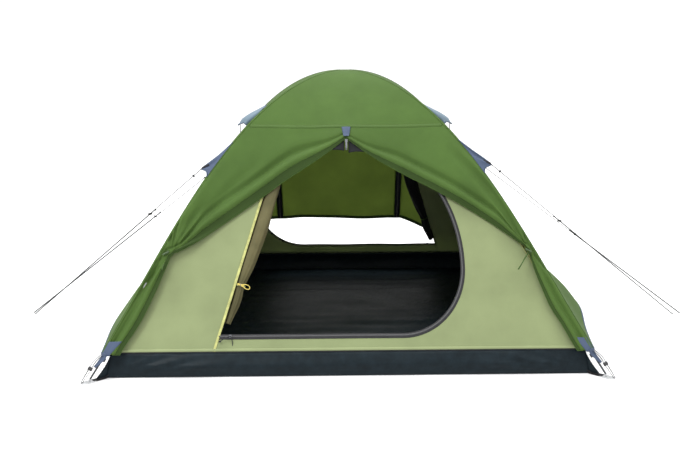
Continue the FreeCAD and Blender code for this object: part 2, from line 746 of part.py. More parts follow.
def door_zip():
    tape = panel(INNER_HALF_W, INNER_HALF_D, INNER_TOP, ZIP_THICK, TUB_Z + 10, INNER_TOP - 60, ZIP_THICK + GAP)
    band = tape.common(door_prism(ZIP_OUT)).cut(door_prism(-ZIP_IN))
    low = DOOR_SILL_Z - ZIP_OUT - 5
    high = 1100.0
    hinge_side = [Vector(hinge_point(low) + ZIP_IN, 0, low), Vector(hinge_point(high) + ZIP_IN, 0, high),
                  Vector(-900, 0, high), Vector(-900, 0, low)]
    return band.cut(prism(hinge_side, Vector(0, -FAR, 0)))


def zip_slider(z, x, half_d, top, lift, body=(11.0, 13.0, 4.5)):
    """Slider body lying on the outside of a panel that faces -Y."""
    point, normal, up = front_surface(z, half_d, top, lift)
    wide, tall, thick = body
    box = Part.makeBox(wide, tall, thick, Vector(-wide / 2, -tall / 2, 0))
    box = box.makeFillet(1.2, [e for e in box.Edges if abs(e.tangentAt(e.FirstParameter).z) > 0.9])
    return framed(box, point + Vector(x, 0, 0), Vector(1, 0, 0), normal)


def pull_tab(z, x, half_d, top, lift, length, width, upright=False):
    """Tab hinged at its upper end: it lies down the slope, or hangs upright under the fabric."""
    point, normal, up = front_surface(z, half_d, top, lift)
    if upright:
        normal = Vector(0, -1, 0)
    tab = Part.makeBox(width, length, 1.6, Vector(-width / 2, -length, -0.8))
    tab = tab.makeFillet(width * 0.3, [e for e in tab.Edges if e.Length < 2.0])
    tab = tab.cut(Part.makeCylinder(width * 0.22, 4, Vector(0, -length + width * 0.6, -2)))
    return framed(tab, point + Vector(x, 0, 0), Vector(1, 0, 0), normal), point, up


SLIDER_X = -512.0
FLY_ZIP_Z = 964.0
REAR_ZIP_X = (-385.0, 318.0)   # seen from the front
REAR_ZIP_HALF = 15.0
REAR_SLIDER_Z = 392.0


def zips():
    band = door_zip()
    save("front_door_zip", [band])
    save("rear_door_zip", [turned(band, 180)])
    lift = ZIP_THICK + 2 * GAP
    save("front_door_slider", [zip_slider(DOOR_SILL_Z, SLIDER_X, INNER_HALF_D, INNER_TOP, lift)])
    tab_lift = lift + 4.5 + 0.5 + 0.8
    tab, point, up = pull_tab(DOOR_SILL_Z, SLIDER_X, INNER_HALF_D, INNER_TOP, tab_lift, 30, 7)
    save("front_door_pull", [tab])
    print("front pull hinge y z", round(point.y, 2), round(point.z, 2))
    print("sill slope up", round(up.y, 4), round(up.z, 4))
    save("rear_door_slider", [turned(zip_slider(DOOR_SILL_Z, SLIDER_X, INNER_HALF_D, INNER_TOP, lift), 180)])

    save("fly_zip_slider", [zip_slider(FLY_ZIP_Z, 0, FLY_HALF_D, FLY_TOP, -1.0, (12.0, 15.0, 4.0))])
    tab, point, up = pull_tab(FLY_ZIP_Z - 5, 0, FLY_HALF_D, FLY_TOP, 4.4, 34, 8)
    save("fly_zip_pull_outer", [tab])
    print("outer pull hinge y z", round(point.y, 2), round(point.z, 2))
    tab, point, up = pull_tab(FLY_ZIP_Z - 5, 0, FLY_HALF_D, FLY_TOP, -3.4, 34, 8, True)
    save("fly_zip_pull_inner", [tab])
    print("inner pull hinge y z", round(point.y, 2), round(point.z, 2))
    patch = profile_strip(FLY_HALF_D, FLY_TOP, 1.2, FLAP_ZIP_TOP_Z + 4, ROOF_SEAM_Z - 6, 1.6)
    patch.translate(Vector(-17, 0, 0))
    save("fly_zip_top_patch", [patch.extrude(Vector(34, 0, 0))])

    tapes = []
    sliders = []
    strip = profile_strip(FLY_HALF_D, FLY_TOP, ZIP_THICK, REAR_HEM_Z - 12, ROOF_SEAM_Z - 30, -FLY_SKIN - GAP)
    for x in REAR_ZIP_X:
        tape = strip.copy()
        tape.translate(Vector(-x - REAR_ZIP_HALF, 0, 0))
        tapes.append(turned(tape.extrude(Vector(2 * REAR_ZIP_HALF, 0, 0)), 180))
        slider = zip_slider(REAR_SLIDER_Z, -x, FLY_HALF_D, FLY_TOP, 1.6)
        tab, point, up = pull_tab(REAR_SLIDER_Z, -x, FLY_HALF_D, FLY_TOP, 6.0, 28, 7)
        sliders.append(turned(slider.fuse(tab), 180))
    save("rear_fly_zips", tapes)
    save("rear_fly_slider_left", [sliders[0]])
    save("rear_fly_slider_right", [sliders[1]])
    _, _, up = front_surface(REAR_SLIDER_Z, FLY_HALF_D, FLY_TOP, 0)
    print("rear slope up (y for the rear side)", round(-up.y, 4), round(up.z, 4))


ROLL_STATIONS = ((0.98, 10), (0.80, 27), (0.55, 33), (0.345, 27), (0.245, 17), (0.17, 22), (0.055, 12))
ROLL_TIE = 0.245               # fraction of the hinge edge's height where the roll is tied
ROLL_INSIDE = 24.0             # the middle of the roll lies this far behind the wall


def roll_centre(fraction, inset):
    """A point beside the hinge edge of the front door, at a fraction of the edge's height."""
    hinge_top_z = 950.0
    z = DOOR_SILL_Z + (hinge_top_z - DOOR_SILL_Z) * fraction
    t = arch_t(z, INNER_TOP)
    return Vector(hinge_point(z) + inset, -INNER_HALF_D * t + ROLL_INSIDE, z)


def door_roll():
    """The door cloth, rolled up along its hinge edge and tied once."""
    wires = []
    for fraction, radius in ROLL_STATIONS:
        centre = roll_centre(fraction, radius + 8)
        axis = roll_centre(fraction + 0.02, radius + 8) - roll_centre(fraction - 0.02, radius + 8)
        wires.append(Part.Wire(Part.makeCircle(radius, centre, axis)))
    return Part.makeLoft(wires, True, True)


def toggle(centre, along, facing, length, radius):
    """A small bar through a loop."""
    bar = Part.makeCylinder(radius, length, Vector(0, 0, -length / 2))
    bar = bar.makeFillet(radius * 0.45, bar.Edges[0:1] + bar.Edges[2:3])
    return framed(bar, centre, facing, along)


def ties():
    roll = door_roll()
    save("front_door_roll", [roll])
    save("rear_door_roll", [turned(roll, 180)])
    radius = dict(ROLL_STATIONS)[ROLL_TIE]
    centre = roll_centre(ROLL_TIE, radius + 8)
    axis = (roll_centre(ROLL_TIE + 0.02, radius + 8) - roll_centre(ROLL_TIE - 0.02, radius + 8)).normalize()
    band = Part.makeCylinder(radius + 4.5, 8, centre - axis * 4, axis)
    band = band.cut(Part.makeCylinder(radius + 2.0, 8, centre - axis * 4, axis))
    outward = Vector(0, -1, 0)
    outward = (outward - axis * outward.dot(axis)).normalize()
    bar_centre = centre + outward * (radius + 10.5)
    bar = toggle(bar_centre, axis.cross(outward), outward, 30, 4)
    save("front_door_toggle", [bar])
    save("rear_door_toggle", [turned(bar, 180)])
    print("front toggle centre", [round(v, 1) for v in bar_centre], "axis", [round(v, 4) for v in outward])

    tie_x, tie_z = FLAP_TIE
    surface, normal, up = front_surface(tie_z, FLY_HALF_D, FLY_TOP, 0)
    at = surface + Vector(tie_x - 22, 0, 0)
    loop = Part.makeTorus(9, 1.6, at + normal * 3.2, normal)
    flap_bar = toggle(at + normal * 9.5, Vector(1, 0, 0) + up * 0.5, normal, 32, 4)
    save("tie_loops", [band, turned(band, 180), loop, mirrored_x(loop)])
    save("flap_toggle_left", [flap_bar])
    save("flap_toggle_right", [mirrored_x(flap_bar)])
    print("flap toggle centre", [round(v, 1) for v in at + normal * 9.5],
          "axis", [round(v, 4) for v in normal])


def main():
    os.makedirs("parts", exist_ok=True)
    groundsheet()
    inner_walls()
    poles()
    pole_clips()
    corner_hardware()
    fly()
    vents()
    zips()
    ties()
    guyout_wings()
    for name in GUYS:
        guyline(name)
        runner(name)


main()
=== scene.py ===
import math

import bmesh
import bpy
import numpy as np
from mathutils import Matrix, Vector


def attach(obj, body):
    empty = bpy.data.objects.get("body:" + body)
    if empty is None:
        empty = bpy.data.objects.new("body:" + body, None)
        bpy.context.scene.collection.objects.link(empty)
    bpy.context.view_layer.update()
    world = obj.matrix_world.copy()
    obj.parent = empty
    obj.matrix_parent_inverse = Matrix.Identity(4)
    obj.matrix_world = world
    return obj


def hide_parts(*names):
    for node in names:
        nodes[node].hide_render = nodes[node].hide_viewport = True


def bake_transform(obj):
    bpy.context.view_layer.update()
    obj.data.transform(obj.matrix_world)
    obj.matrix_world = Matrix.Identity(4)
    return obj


# Dome tent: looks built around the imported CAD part.  Metres, +Z up, the open door faces -Y.

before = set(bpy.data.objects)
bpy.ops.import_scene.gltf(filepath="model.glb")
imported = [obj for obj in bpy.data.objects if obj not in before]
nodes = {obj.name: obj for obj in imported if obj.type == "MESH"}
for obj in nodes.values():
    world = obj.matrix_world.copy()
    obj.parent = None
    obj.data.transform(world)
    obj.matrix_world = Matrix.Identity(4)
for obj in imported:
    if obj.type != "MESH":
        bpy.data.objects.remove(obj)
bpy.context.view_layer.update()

# Sizes shared with the CAD
REACH = 1.06
FLY = (1.068, 0.968, 1.268)        # half width, half depth, top
INNER = (1.035, 0.936, 1.208)
FLOOR = (1.050, 0.950)
SEAM_Z = 1.030
HEM_Z = 0.108
SIDE_HEM_Z = 0.205
REAR_HEM = ((-1.061, 0.108), (-0.470, 0.275), (-0.340, 0.344), (0.455, 0.344), (0.560, 0.262), (1.061, 0.108))
REAR_ZIP_X = (-0.385, 0.318)       # seen from the front
TUB_Z = 0.105
SILL_Z = 0.165
HINGE_X = -0.562
HINGE_LEAN = 0.32
CORNER_R = math.hypot(*FLOOR)
SIDES = {"front": 0.0, "right": 90.0, "rear": 180.0, "left": -90.0}
CORNERS = {"front_left": (-1, -1), "front_right": (1, -1), "rear_left": (-1, 1), "rear_right": (1, 1)}


# ---------------------------------------------------------------- numbers

def smooth(a, b, x):
    u = np.clip((np.asarray(x, float) - a) / (b - a), 0, 1)
    return u * u * (3 - 2 * u)


def bump(centre, width, x):
    return np.exp(-((np.asarray(x, float) - centre) / width) ** 2)


def lerp(a, b, u):
    return a + (b - a) * u


def unit(v):
    v = np.asarray(v, float)
    return v / np.maximum(np.linalg.norm(v, axis=-1, keepdims=True), 1e-12)


def joined(*parts):
    """Coordinates that broadcast to one shape, as points."""
    return np.stack(np.broadcast_arrays(*parts), axis=-1)


def ripple(p, length, seed, stretch=(1, 1, 1), waves=7):
    """Smooth irregular waves over the points p, between about -1 and 1."""
    rng = np.random.default_rng(seed)
    q = np.asarray(p, float) * np.asarray(stretch, float)
    total = np.zeros(q.shape[:-1])
    for _ in range(waves):
        direction = unit(rng.normal(size=3))
        size = 2 * math.pi / (length * rng.uniform(0.6, 1.5))
        total += np.sin(q @ direction * size + rng.uniform(0, 6.28))
    return total / math.sqrt(waves) * 0.8


def arch(t, top):
    u2 = (np.asarray(t, float) / REACH) ** 2
    return top * (1 - u2) * (1 - 0.11 * u2 - 0.23 * u2 * u2)


T_TABLE = np.linspace(REACH, 0, 4001)


def arch_t(z, top):
    return np.interp(z, arch(T_TABLE, top), T_TABLE)


def spline(points, count):
    """Catmull-Rom through the points, count samples at even steps of length."""
    p = np.asarray(points, float)
    p = np.vstack([2 * p[0] - p[1], p, 2 * p[-1] - p[-2]])
    out = []
    for i in range(1, len(p) - 2):
        for u in np.linspace(0, 1, 24, endpoint=False):
            out.append(0.5 * (2 * p[i] + (p[i + 1] - p[i - 1]) * u
                              + (2 * p[i - 1] - 5 * p[i] + 4 * p[i + 1] - p[i + 2]) * u * u
                              + (3 * p[i] - p[i - 1] - 3 * p[i + 1] + p[i + 2]) * u ** 3))
    out.append(p[-2])
    return even(np.array(out), count)


def even(line, count):
    lengths = np.concatenate([[0], np.cumsum(np.linalg.norm(np.diff(line, axis=0), axis=1))])
    at = np.linspace(0, lengths[-1], count)
    return np.stack([np.interp(at, lengths, line[:, k]) for k in range(line.shape[1])], axis=1)


def turned(p, side):
    a = math.radians(SIDES[side])
    x, y = p[..., 0], p[..., 1]
    return np.stack([x * math.cos(a) - y * math.sin(a), x * math.sin(a) + y * math.cos(a), p[..., 2]],
                    axis=-1)


# ---------------------------------------------------------------- meshes

def mesh_object(name, points, faces, uvs=None, body="tent", material=None):
    mesh = bpy.data.meshes.new(name)
    mesh.from_pydata([tuple(p) for p in points], [], [tuple(f) for f in faces])
    if uvs is not None:
        layer = mesh.uv_layers.new(name="UVMap")
        index = np.zeros(len(mesh.loops), np.int32)
        mesh.loops.foreach_get("vertex_index", index)
        layer.data.foreach_set("uv", np.asarray(uvs, np.float32)[index].ravel())
    mesh.update()
    obj = bpy.data.objects.new(name, mesh)
    bpy.context.scene.collection.objects.link(obj)
    for polygon in mesh.polygons:
        polygon.use_smooth = True
    if material:
        mesh.materials.append(material)
    if body:
        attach(obj, body)
    return obj


def grid_faces(rows, cols, start=0, closed=False):
    faces = []
    for i in range(rows - 1):
        for j in range(cols if closed else cols - 1):
            k = (j + 1) % cols
            faces.append((start + i * cols + j, start + i * cols + k,
                          start + (i + 1) * cols + k, start + (i + 1) * cols + j))
    return faces


class Patches:
    """Several grids of points joined into one mesh."""

    def __init__(self):
        self.points = []
        self.uvs = []
        self.faces = []
        self.count = 0

    def grid(self, p, uv, keep=None, flip=False):
        rows, cols = p.shape[:2]
        faces = grid_faces(rows, cols, self.count)
        if keep is not None:
            faces = [f for f, k in zip(faces, keep.ravel()) if k]
        if flip:
            faces = [f[::-1] for f in faces]
        self.points.append(p.reshape(-1, 3))
        self.uvs.append(uv.reshape(-1, 2))
        self.faces.extend(faces)
        self.count += rows * cols

    def made(self, name, material, weld=0.00005, thick=0.0, body="tent"):
        obj = mesh_object(name, np.concatenate(self.points), self.faces, np.concatenate(self.uvs),
                          body, material)
        tidy(obj, weld)
        if thick:
            solidify(obj, thick)
        return obj


def tidy(obj, weld=0.00005):
    bm = bmesh.new()
    bm.from_mesh(obj.data)
    bmesh.ops.remove_doubles(bm, verts=bm.verts, dist=weld)
    bmesh.ops.dissolve_degenerate(bm, dist=weld * 0.5, edges=bm.edges)
    loose = [v for v in bm.verts if not v.link_faces]
    bmesh.ops.delete(bm, geom=loose, context="VERTS")
    bmesh.ops.recalc_face_normals(bm, faces=bm.faces)
    bm.to_mesh(obj.data)
    bm.free()
    obj.data.update()


def solidify(obj, thick, offset=-1.0):
    modifier = obj.modifiers.new("cloth", "SOLIDIFY")
    modifier.thickness = thick
    modifier.offset = offset
    modifier.use_even_offset = False


def frames_along(line, side_hint):
    """Tangent, side and up vectors at each point of a line; side stays near the hint."""
    tangent = unit(np.gradient(line, axis=0))
    hint = np.broadcast_to(np.asarray(side_hint, float), line.shape)
    side = unit(hint - tangent * np.sum(hint * tangent, axis=1, keepdims=True))
    return tangent, side, np.cross(tangent, side)


def ribbon(name, line, side_hint, section, material, body="tent", closed=True, caps=True):
    """A section of (side, up) offsets swept along a line.  UV: length along, way round."""
    line = np.asarray(line, float)
    section = np.asarray(section, float)
    if section.ndim == 2:
        section = np.broadcast_to(section, (len(line),) + section.shape)
    _, side, up = frames_along(line, side_hint)
    p = line[:, None] + side[:, None] * section[..., :1] + up[:, None] * section[..., 1:2]
    rows, cols = p.shape[:2]
    along = np.concatenate([[0], np.cumsum(np.linalg.norm(np.diff(line, axis=0), axis=1))])
    round_it = np.concatenate([[0], np.cumsum(np.linalg.norm(np.diff(section[rows // 2], axis=0), axis=1))])
    uv = joined(along[:, None], round_it[None])
    faces = grid_faces(rows, cols, 0, closed)
    if closed and caps:
        faces.append(tuple(range(cols))[::-1])
        faces.append(tuple((rows - 1) * cols + j for j in range(cols)))
    obj = mesh_object(name, p.reshape(-1, 3), faces, uv.reshape(-1, 2), body, material)
    tidy(obj, 0.000005)
    return obj


def flat_section(width, thick, crown=0.0, steps=6):
    """Outline of a strap: width across, thick, its faces slightly crowned."""
    x = np.linspace(-width / 2, width / 2, steps)
    rise = crown * (1 - (2 * x / width) ** 2)
    top = np.stack([x, thick / 2 + rise], axis=1)
    low = np.stack([x[::-1], -thick / 2 + rise[::-1]], axis=1)
    return np.concatenate([top, low])


def round_section(radius, steps=12):
    a = np.linspace(0, 2 * math.pi, steps, endpoint=False)
    return np.stack([np.cos(a), np.sin(a)], axis=1) * radius


# ---------------------------------------------------------------- materials

class Shader:
    """A small helper for building one node material."""

    def __init__(self, name):
        self.material = bpy.data.materials.new(name)
        self.material.use_nodes = True
        self.tree = self.material.node_tree
        self.tree.nodes.clear()
        self.out = self.node("ShaderNodeOutputMaterial")
        self.base = self.node("ShaderNodeBsdfPrincipled")
        self.link(self.base.outputs[0], self.out.inputs[0])

    def node(self, kind, **values):
        n = self.tree.nodes.new(kind)
        for key, value in values.items():
            setattr(n, key, value)
        return n

    def link(self, a, b):
        self.tree.links.new(a, b)

    def coordinates(self, kind):
        n = self.node("ShaderNodeTexCoord")
        return n.outputs[kind]

    def math(self, operation, a, b=None):
        n = self.node("ShaderNodeMath", operation=operation)
        for socket, value in zip(n.inputs, (a, b)):
            if value is None:
                continue
            if isinstance(value, (int, float)):
                socket.default_value = value
            else:
                self.link(value, socket)
        return n.outputs[0]

    def noise(self, where, scale, detail=3.0, rough=0.55):
        n = self.node("ShaderNodeTexNoise")
        n.inputs["Scale"].default_value = scale
        n.inputs["Detail"].default_value = detail
        n.inputs["Roughness"].default_value = rough
        self.link(where, n.inputs["Vector"])
        return n.outputs["Fac"]

    def wave(self, where, period, direction):
        n = self.node("ShaderNodeTexWave", bands_direction=direction)
        n.inputs["Scale"].default_value = 2 * math.pi / 20 / period
        self.link(where, n.inputs["Vector"])
        return n.outputs["Fac"]

    def ramp(self, factor, stops):
        n = self.node("ShaderNodeValToRGB")
        while len(n.color_ramp.elements) < len(stops):
            n.color_ramp.elements.new(0.5)
        for element, (at, color) in zip(n.color_ramp.elements, stops):
            element.position = at
            element.color = (*color, 1.0)
        self.link(factor, n.inputs[0])
        return n.outputs[0]

    def mix(self, factor, a, b):
        n = self.node("ShaderNodeMix", data_type="RGBA")
        for socket, value in zip((n.inputs[0], n.inputs[6], n.inputs[7]), (factor, a, b)):
            if isinstance(value, (int, float)):
                socket.default_value = value
            elif isinstance(value, tuple):
                socket.default_value = (*value, 1.0)
            else:
                self.link(value, socket)
        return n.outputs[2]

    def spread(self, value, low, high):
        n = self.node("ShaderNodeMapRange")
        n.inputs["To Min"].default_value = low
        n.inputs["To Max"].default_value = high
        self.link(value, n.inputs["Value"])
        return n.outputs[0]

    def relief(self, *layers):
        """Chained bumps from (height, distance in metres, strength)."""
        normal = None
        for height, distance, strength in layers:
            n = self.node("ShaderNodeBump")
            n.inputs["Distance"].default_value = distance
            n.inputs["Strength"].default_value = strength
            self.link(height, n.inputs["Height"])
            if normal is not None:
                self.link(normal, n.inputs["Normal"])
            normal = n.outputs[0]
        self.link(normal, self.base.inputs["Normal"])
        return normal

    def color(self, value):
        if isinstance(value, tuple):
            self.base.inputs["Base Color"].default_value = (*value, 1.0)
        else:
            self.link(value, self.base.inputs["Base Color"])

    def see_through(self, color, share, normal=None):
        """Cloth that lets a share of the light behind it through."""
        through = self.node("ShaderNodeBsdfTranslucent")
        self.link(color, through.inputs["Color"])
        if normal is not None:
            self.link(normal, through.inputs["Normal"])
        mixed = self.node("ShaderNodeMixShader")
        mixed.inputs[0].default_value = share
        self.link(self.base.outputs[0], mixed.inputs[1])
        self.link(through.outputs[0], mixed.inputs[2])
        self.link(mixed.outputs[0], self.out.inputs[0])

    def set(self, **values):
        for key, value in values.items():
            self.base.inputs[key.replace("_", " ")].default_value = value


def shades(color, spread):
    dark = tuple(c * (1 - spread) for c in color)
    light = tuple(min(1.0, c * (1 + spread)) for c in color)
    return dark, light


def cloth(name, color, through=0.0, rough=0.62, thread=0.0014, mottle=0.10, sheen=0.04,
          crumple=0.0012, coords="UV", through_color=None, gloss=0.12):
    """Woven cloth: crossed threads, faint shade changes, small creases and a soft sheen."""
    s = Shader(name)
    place = s.coordinates("Object")
    weave_at = s.coordinates(coords)
    warp = s.wave(weave_at, thread, "X")
    weft = s.wave(weave_at, thread, "Y")
    weave = s.math("MAXIMUM", warp, weft)
    patches = s.noise(place, 5.0, 4.0)
    fine = s.noise(place, 60.0, 3.0, 0.6)
    dark, light = shades(color, mottle)
    tone = s.ramp(patches, ((0.3, dark), (0.7, light)))
    shade = s.mix(s.spread(weave, 0.0, 0.16), tone, tuple(c * 0.55 for c in color))
    s.color(shade)
    s.link(s.spread(fine, rough - 0.07, rough + 0.08), s.base.inputs["Roughness"])
    creases = s.noise(place, 16.0, 5.0, 0.6)
    s.relief((creases, crumple, 0.5), (weave, 0.00025, 0.35))
    s.set(Sheen_Weight=sheen, Sheen_Roughness=0.5, Specular_IOR_Level=gloss)
    if through:
        if through_color:
            dark, light = shades(through_color, mottle)
            behind = s.ramp(patches, ((0.3, dark), (0.7, light)))
        else:
            behind = shade
        s.see_through(behind, through)
    return s.material


def webbing(name, color, period=0.0022, coords="UV"):
    """Narrow woven tape: ribs across it and an uneven tone."""
    s = Shader(name)
    place = s.coordinates(coords)
    ribs = s.wave(place, period, "X")
    cross = s.wave(place, period * 0.8, "Y")
    woven = s.math("MULTIPLY", ribs, cross)
    worn = s.noise(s.coordinates("Object"), 40.0, 4.0)
    dark, light = shades(color, 0.35)
    tone = s.ramp(worn, ((0.3, dark), (0.75, light)))
    s.color(s.mix(s.spread(woven, 0.0, 0.5), tone, tuple(min(1.0, c * 2.2 + 0.01) for c in color)))
    s.link(s.spread(worn, 0.6, 0.85), s.base.inputs["Roughness"])
    s.relief((woven, 0.0005, 0.7))
    s.set(Sheen_Weight=0.05, Specular_IOR_Level=0.15)
    return s.material


def plastic(name, color, rough=0.4, grain=0.00008):
    s = Shader(name)
    place = s.coordinates("Object")
    fine = s.noise(place, 900.0, 2.0)
    broad = s.noise(place, 35.0, 4.0)
    dark, light = shades(color, 0.2)
    s.color(s.ramp(broad, ((0.3, dark), (0.7, light))))
    s.link(s.spread(broad, rough - 0.08, rough + 0.12), s.base.inputs["Roughness"])
    s.relief((fine, grain, 0.5))
    return s.material


def metal(name, color, rough=0.32, metallic=1.0):
    """Plated steel: fine spangle and duller patches."""
    s = Shader(name)
    place = s.coordinates("Object")
    spangle = s.noise(place, 220.0, 5.0, 0.65)
    dull = s.noise(place, 28.0, 4.0)
    dark, light = shades(color, 0.18)
    s.color(s.ramp(spangle, ((0.35, dark), (0.65, light))))
    s.link(s.spread(dull, rough - 0.08, rough + 0.18), s.base.inputs["Roughness"])
    s.relief((spangle, 0.00006, 0.5))
    s.set(Metallic=metallic)
    return s.material


def braid(name, color, pitch=0.004, coords="UV"):
    """Braided cord: slanted strands both ways and a few flecks."""
    s = Shader(name)
    place = s.coordinates(coords)
    turned_map = s.node("ShaderNodeMapping")
    turned_map.inputs["Rotation"].default_value = (0, 0, math.radians(40))
    s.link(place, turned_map.inputs["Vector"])
    one = s.wave(turned_map.outputs[0], pitch, "X")
    two = s.wave(turned_map.outputs[0], pitch, "Y")
    strands = s.math("MAXIMUM", one, two)
    flecks = s.noise(s.coordinates("Object"), 300.0, 2.0)
    dark, light = shades(color, 0.35)
    s.color(s.mix(s.spread(strands, 0.0, 0.6), s.ramp(flecks, ((0.4, dark), (0.6, light))), light))
    s.link(s.spread(flecks, 0.6, 0.8), s.base.inputs["Roughness"])
    s.relief((strands, 0.0004, 0.6))
    return s.material


def zip_tape(name, tape, teeth, half):
    """Zip: woven tape on both sides of a row of coil teeth.  UV: length along, distance across."""
    s = Shader(name)
    place = s.coordinates("UV")
    parts = s.node("ShaderNodeSeparateXYZ")
    s.link(place, parts.inputs[0])
    across = s.math("ABSOLUTE", s.math("SUBTRACT", parts.outputs[1], half))
    on_teeth = s.math("LESS_THAN", across, 0.0028)
    coil = s.wave(place, 0.0026, "X")
    ribs = s.wave(place, 0.0012, "Y")
    mottle = s.noise(s.coordinates("Object"), 60.0, 3.0)
    dark, light = shades(tape, 0.3)
    cloth_color = s.ramp(mottle, ((0.3, dark), (0.7, light)))
    coil_color = s.mix(coil, tuple(c * 0.4 for c in teeth), teeth)
    s.color(s.mix(on_teeth, cloth_color, coil_color))
    s.link(s.spread(on_teeth, 0.7, 0.35), s.base.inputs["Roughness"])
    height = s.math("ADD", s.math("MULTIPLY", on_teeth, coil), s.math("MULTIPLY", ribs, 0.15))
    s.relief((height, 0.0007, 0.8))
    return s.material


def net(name, color, hole=0.0022):
    """Fine net: threads with open holes between them."""
    s = Shader(name)
    place = s.coordinates("UV")
    warp = s.wave(place, hole, "X")
    weft = s.wave(place, hole, "Y")
    thread = s.math("GREATER_THAN", s.math("MAXIMUM", warp, weft), 0.62)
    tone = s.noise(s.coordinates("Object"), 30.0)
    dark, light = shades(color, 0.3)
    s.color(s.ramp(tone, ((0.3, dark), (0.7, light))))
    s.set(Roughness=0.7)
    clear = s.node("ShaderNodeBsdfTransparent")
    mixed = s.node("ShaderNodeMixShader")
    s.link(thread, mixed.inputs[0])
    s.link(clear.outputs[0], mixed.inputs[1])
    s.link(s.base.outputs[0], mixed.inputs[2])
    s.link(mixed.outputs[0], s.out.inputs[0])
    return s.material


def coated(name, color, rough=0.42):
    """Coated groundsheet cloth: dark, fairly glossy, with small creases and dust."""
    s = Shader(name)
    place = s.coordinates("Object")
    creases = s.noise(place, 22.0, 6.0, 0.62)
    dust = s.noise(place, 6.0, 6.0, 0.7)
    weave = s.math("MAXIMUM", s.wave(place, 0.0016, "X"), s.wave(place, 0.0016, "Y"))
    dark, light = shades(color, 0.35)
    s.color(s.mix(s.spread(dust, 0.0, 0.22), s.ramp(creases, ((0.3, dark), (0.7, light))),
                  (0.030, 0.040, 0.046)))
    s.link(s.spread(dust, rough - 0.06, rough + 0.16), s.base.inputs["Roughness"])
    s.relief((creases, 0.0016, 0.5), (weave, 0.00015, 0.3))
    s.set(Specular_IOR_Level=0.09, Coat_Weight=0.01, Coat_Roughness=0.25)
    return s.material


GREEN = (0.094, 0.172, 0.041)
GREEN_THROUGH = (0.50, 0.60, 0.24)
LIME = (0.345, 0.405, 0.205)

fly_cloth_m = cloth("fly_fabric", GREEN, through=0.34, through_color=GREEN_THROUGH)
inner_cloth_m = cloth("inner_fabric", LIME, through=0.28, rough=0.7, crumple=0.0008)
crown_m = cloth("crown_fabric", tuple(c * 0.85 for c in LIME), through=0.2, coords="Object")
door_cloth_m = cloth("door_fabric", (0.155, 0.145, 0.070), through=0.30, rough=0.6, mottle=0.35,
                     through_color=(0.42, 0.24, 0.06))
net_cloth_m = cloth("mesh_fabric", (0.018, 0.019, 0.021), rough=0.8, mottle=0.3)
net_m = net("vent_net", (0.03, 0.03, 0.033))
trim_m = cloth("trim_fabric", (0.18, 0.25, 0.31), through=0.15, rough=0.6)
floor_m = coated("floor_fabric", (0.008, 0.014, 0.018))
binding_m = webbing("binding_tape", (0.44, 0.45, 0.17), 0.0012)
green_tape_m = webbing("green_tape", (0.045, 0.085, 0.022), 0.0014)
# Fly green at 0.48: painted shade for the underside of the flaps' rolled edges.
roll_underside_shade_m = cloth("roll_underside_painted_shade", tuple(c * 0.48 for c in GREEN), through=0.10)
seam_m = cloth("seam_tape", tuple(c * 0.80 for c in GREEN), through=0.15)
pale_tape_m = cloth("pale_binding", tuple(c * 0.92 for c in LIME), through=0.1)
patch_m = cloth("patch_fabric", (0.085, 0.115, 0.185), through=0.10, rough=0.6, thread=0.0009)
fly_flap_m = cloth("zip_flap_fabric", GREEN, through=0.10)
yellow_plastic_m = plastic("yellow_plastic", (0.60, 0.46, 0.09), 0.4)
blue_tape_m = webbing("blue_binding", (0.06, 0.085, 0.13), 0.0012)
strap_m = webbing("black_webbing", (0.018, 0.018, 0.02))
door_zip_m = zip_tape("door_zip", (0.012, 0.012, 0.014), (0.10, 0.10, 0.105), 0.010)
fly_zip_m = zip_tape("fly_zip", (0.010, 0.012, 0.016), (0.05, 0.05, 0.055), 0.015)
enamel_m = metal("zip_metal", (0.16, 0.165, 0.18), 0.42)
steel_m = metal("steel", (0.62, 0.63, 0.64), 0.30)
rod_m = plastic("pole_fibreglass", (0.045, 0.05, 0.055), 0.28)
black_m = plastic("black_plastic", (0.018, 0.018, 0.02), 0.42)
green_plastic_m = plastic("green_plastic", (0.05, 0.09, 0.03), 0.45)
yellow_m = braid("yellow_cord", (0.72, 0.58, 0.14), 0.003)
elastic_m = braid("elastic_cord", (0.02, 0.02, 0.022), 0.002)
elastic_cad_m = braid("elastic_cord_object", (0.02, 0.02, 0.022), 0.002, coords="Object")
guy_m = braid("guy_cord", (0.035, 0.037, 0.040), 0.003)
pull_m = braid("pull_cord", (0.014, 0.015, 0.018), 0.002)
light_cord_m = braid("light_cord", (0.20, 0.21, 0.21), 0.002)


# ---------------------------------------------------------------- camera, floor and light

def camera():
    data = bpy.data.cameras.new("camera")
    obj = bpy.data.objects.new("camera", data)
    bpy.context.scene.collection.objects.link(obj)
    yaw, pitch, roll = (math.radians(a) for a in (0.86, 12.01, -0.27))
    ahead = Vector((math.sin(yaw) * math.cos(pitch), math.cos(yaw) * math.cos(pitch), -math.sin(pitch)))
    right = ahead.cross(Vector((0, 0, 1))).normalized()
    up = right.cross(ahead)
    tilted_right = right * math.cos(roll) + up * math.sin(roll)
    tilted_up = tilted_right.cross(ahead)
    turn = Matrix((tilted_right, tilted_up, -ahead)).transposed()
    obj.matrix_world = Matrix.Translation((-0.052, -4.95, 1.48)) @ turn.to_4x4()
    data.lens = 50.1
    data.sensor_width = 36.0
    bpy.context.scene.camera = obj


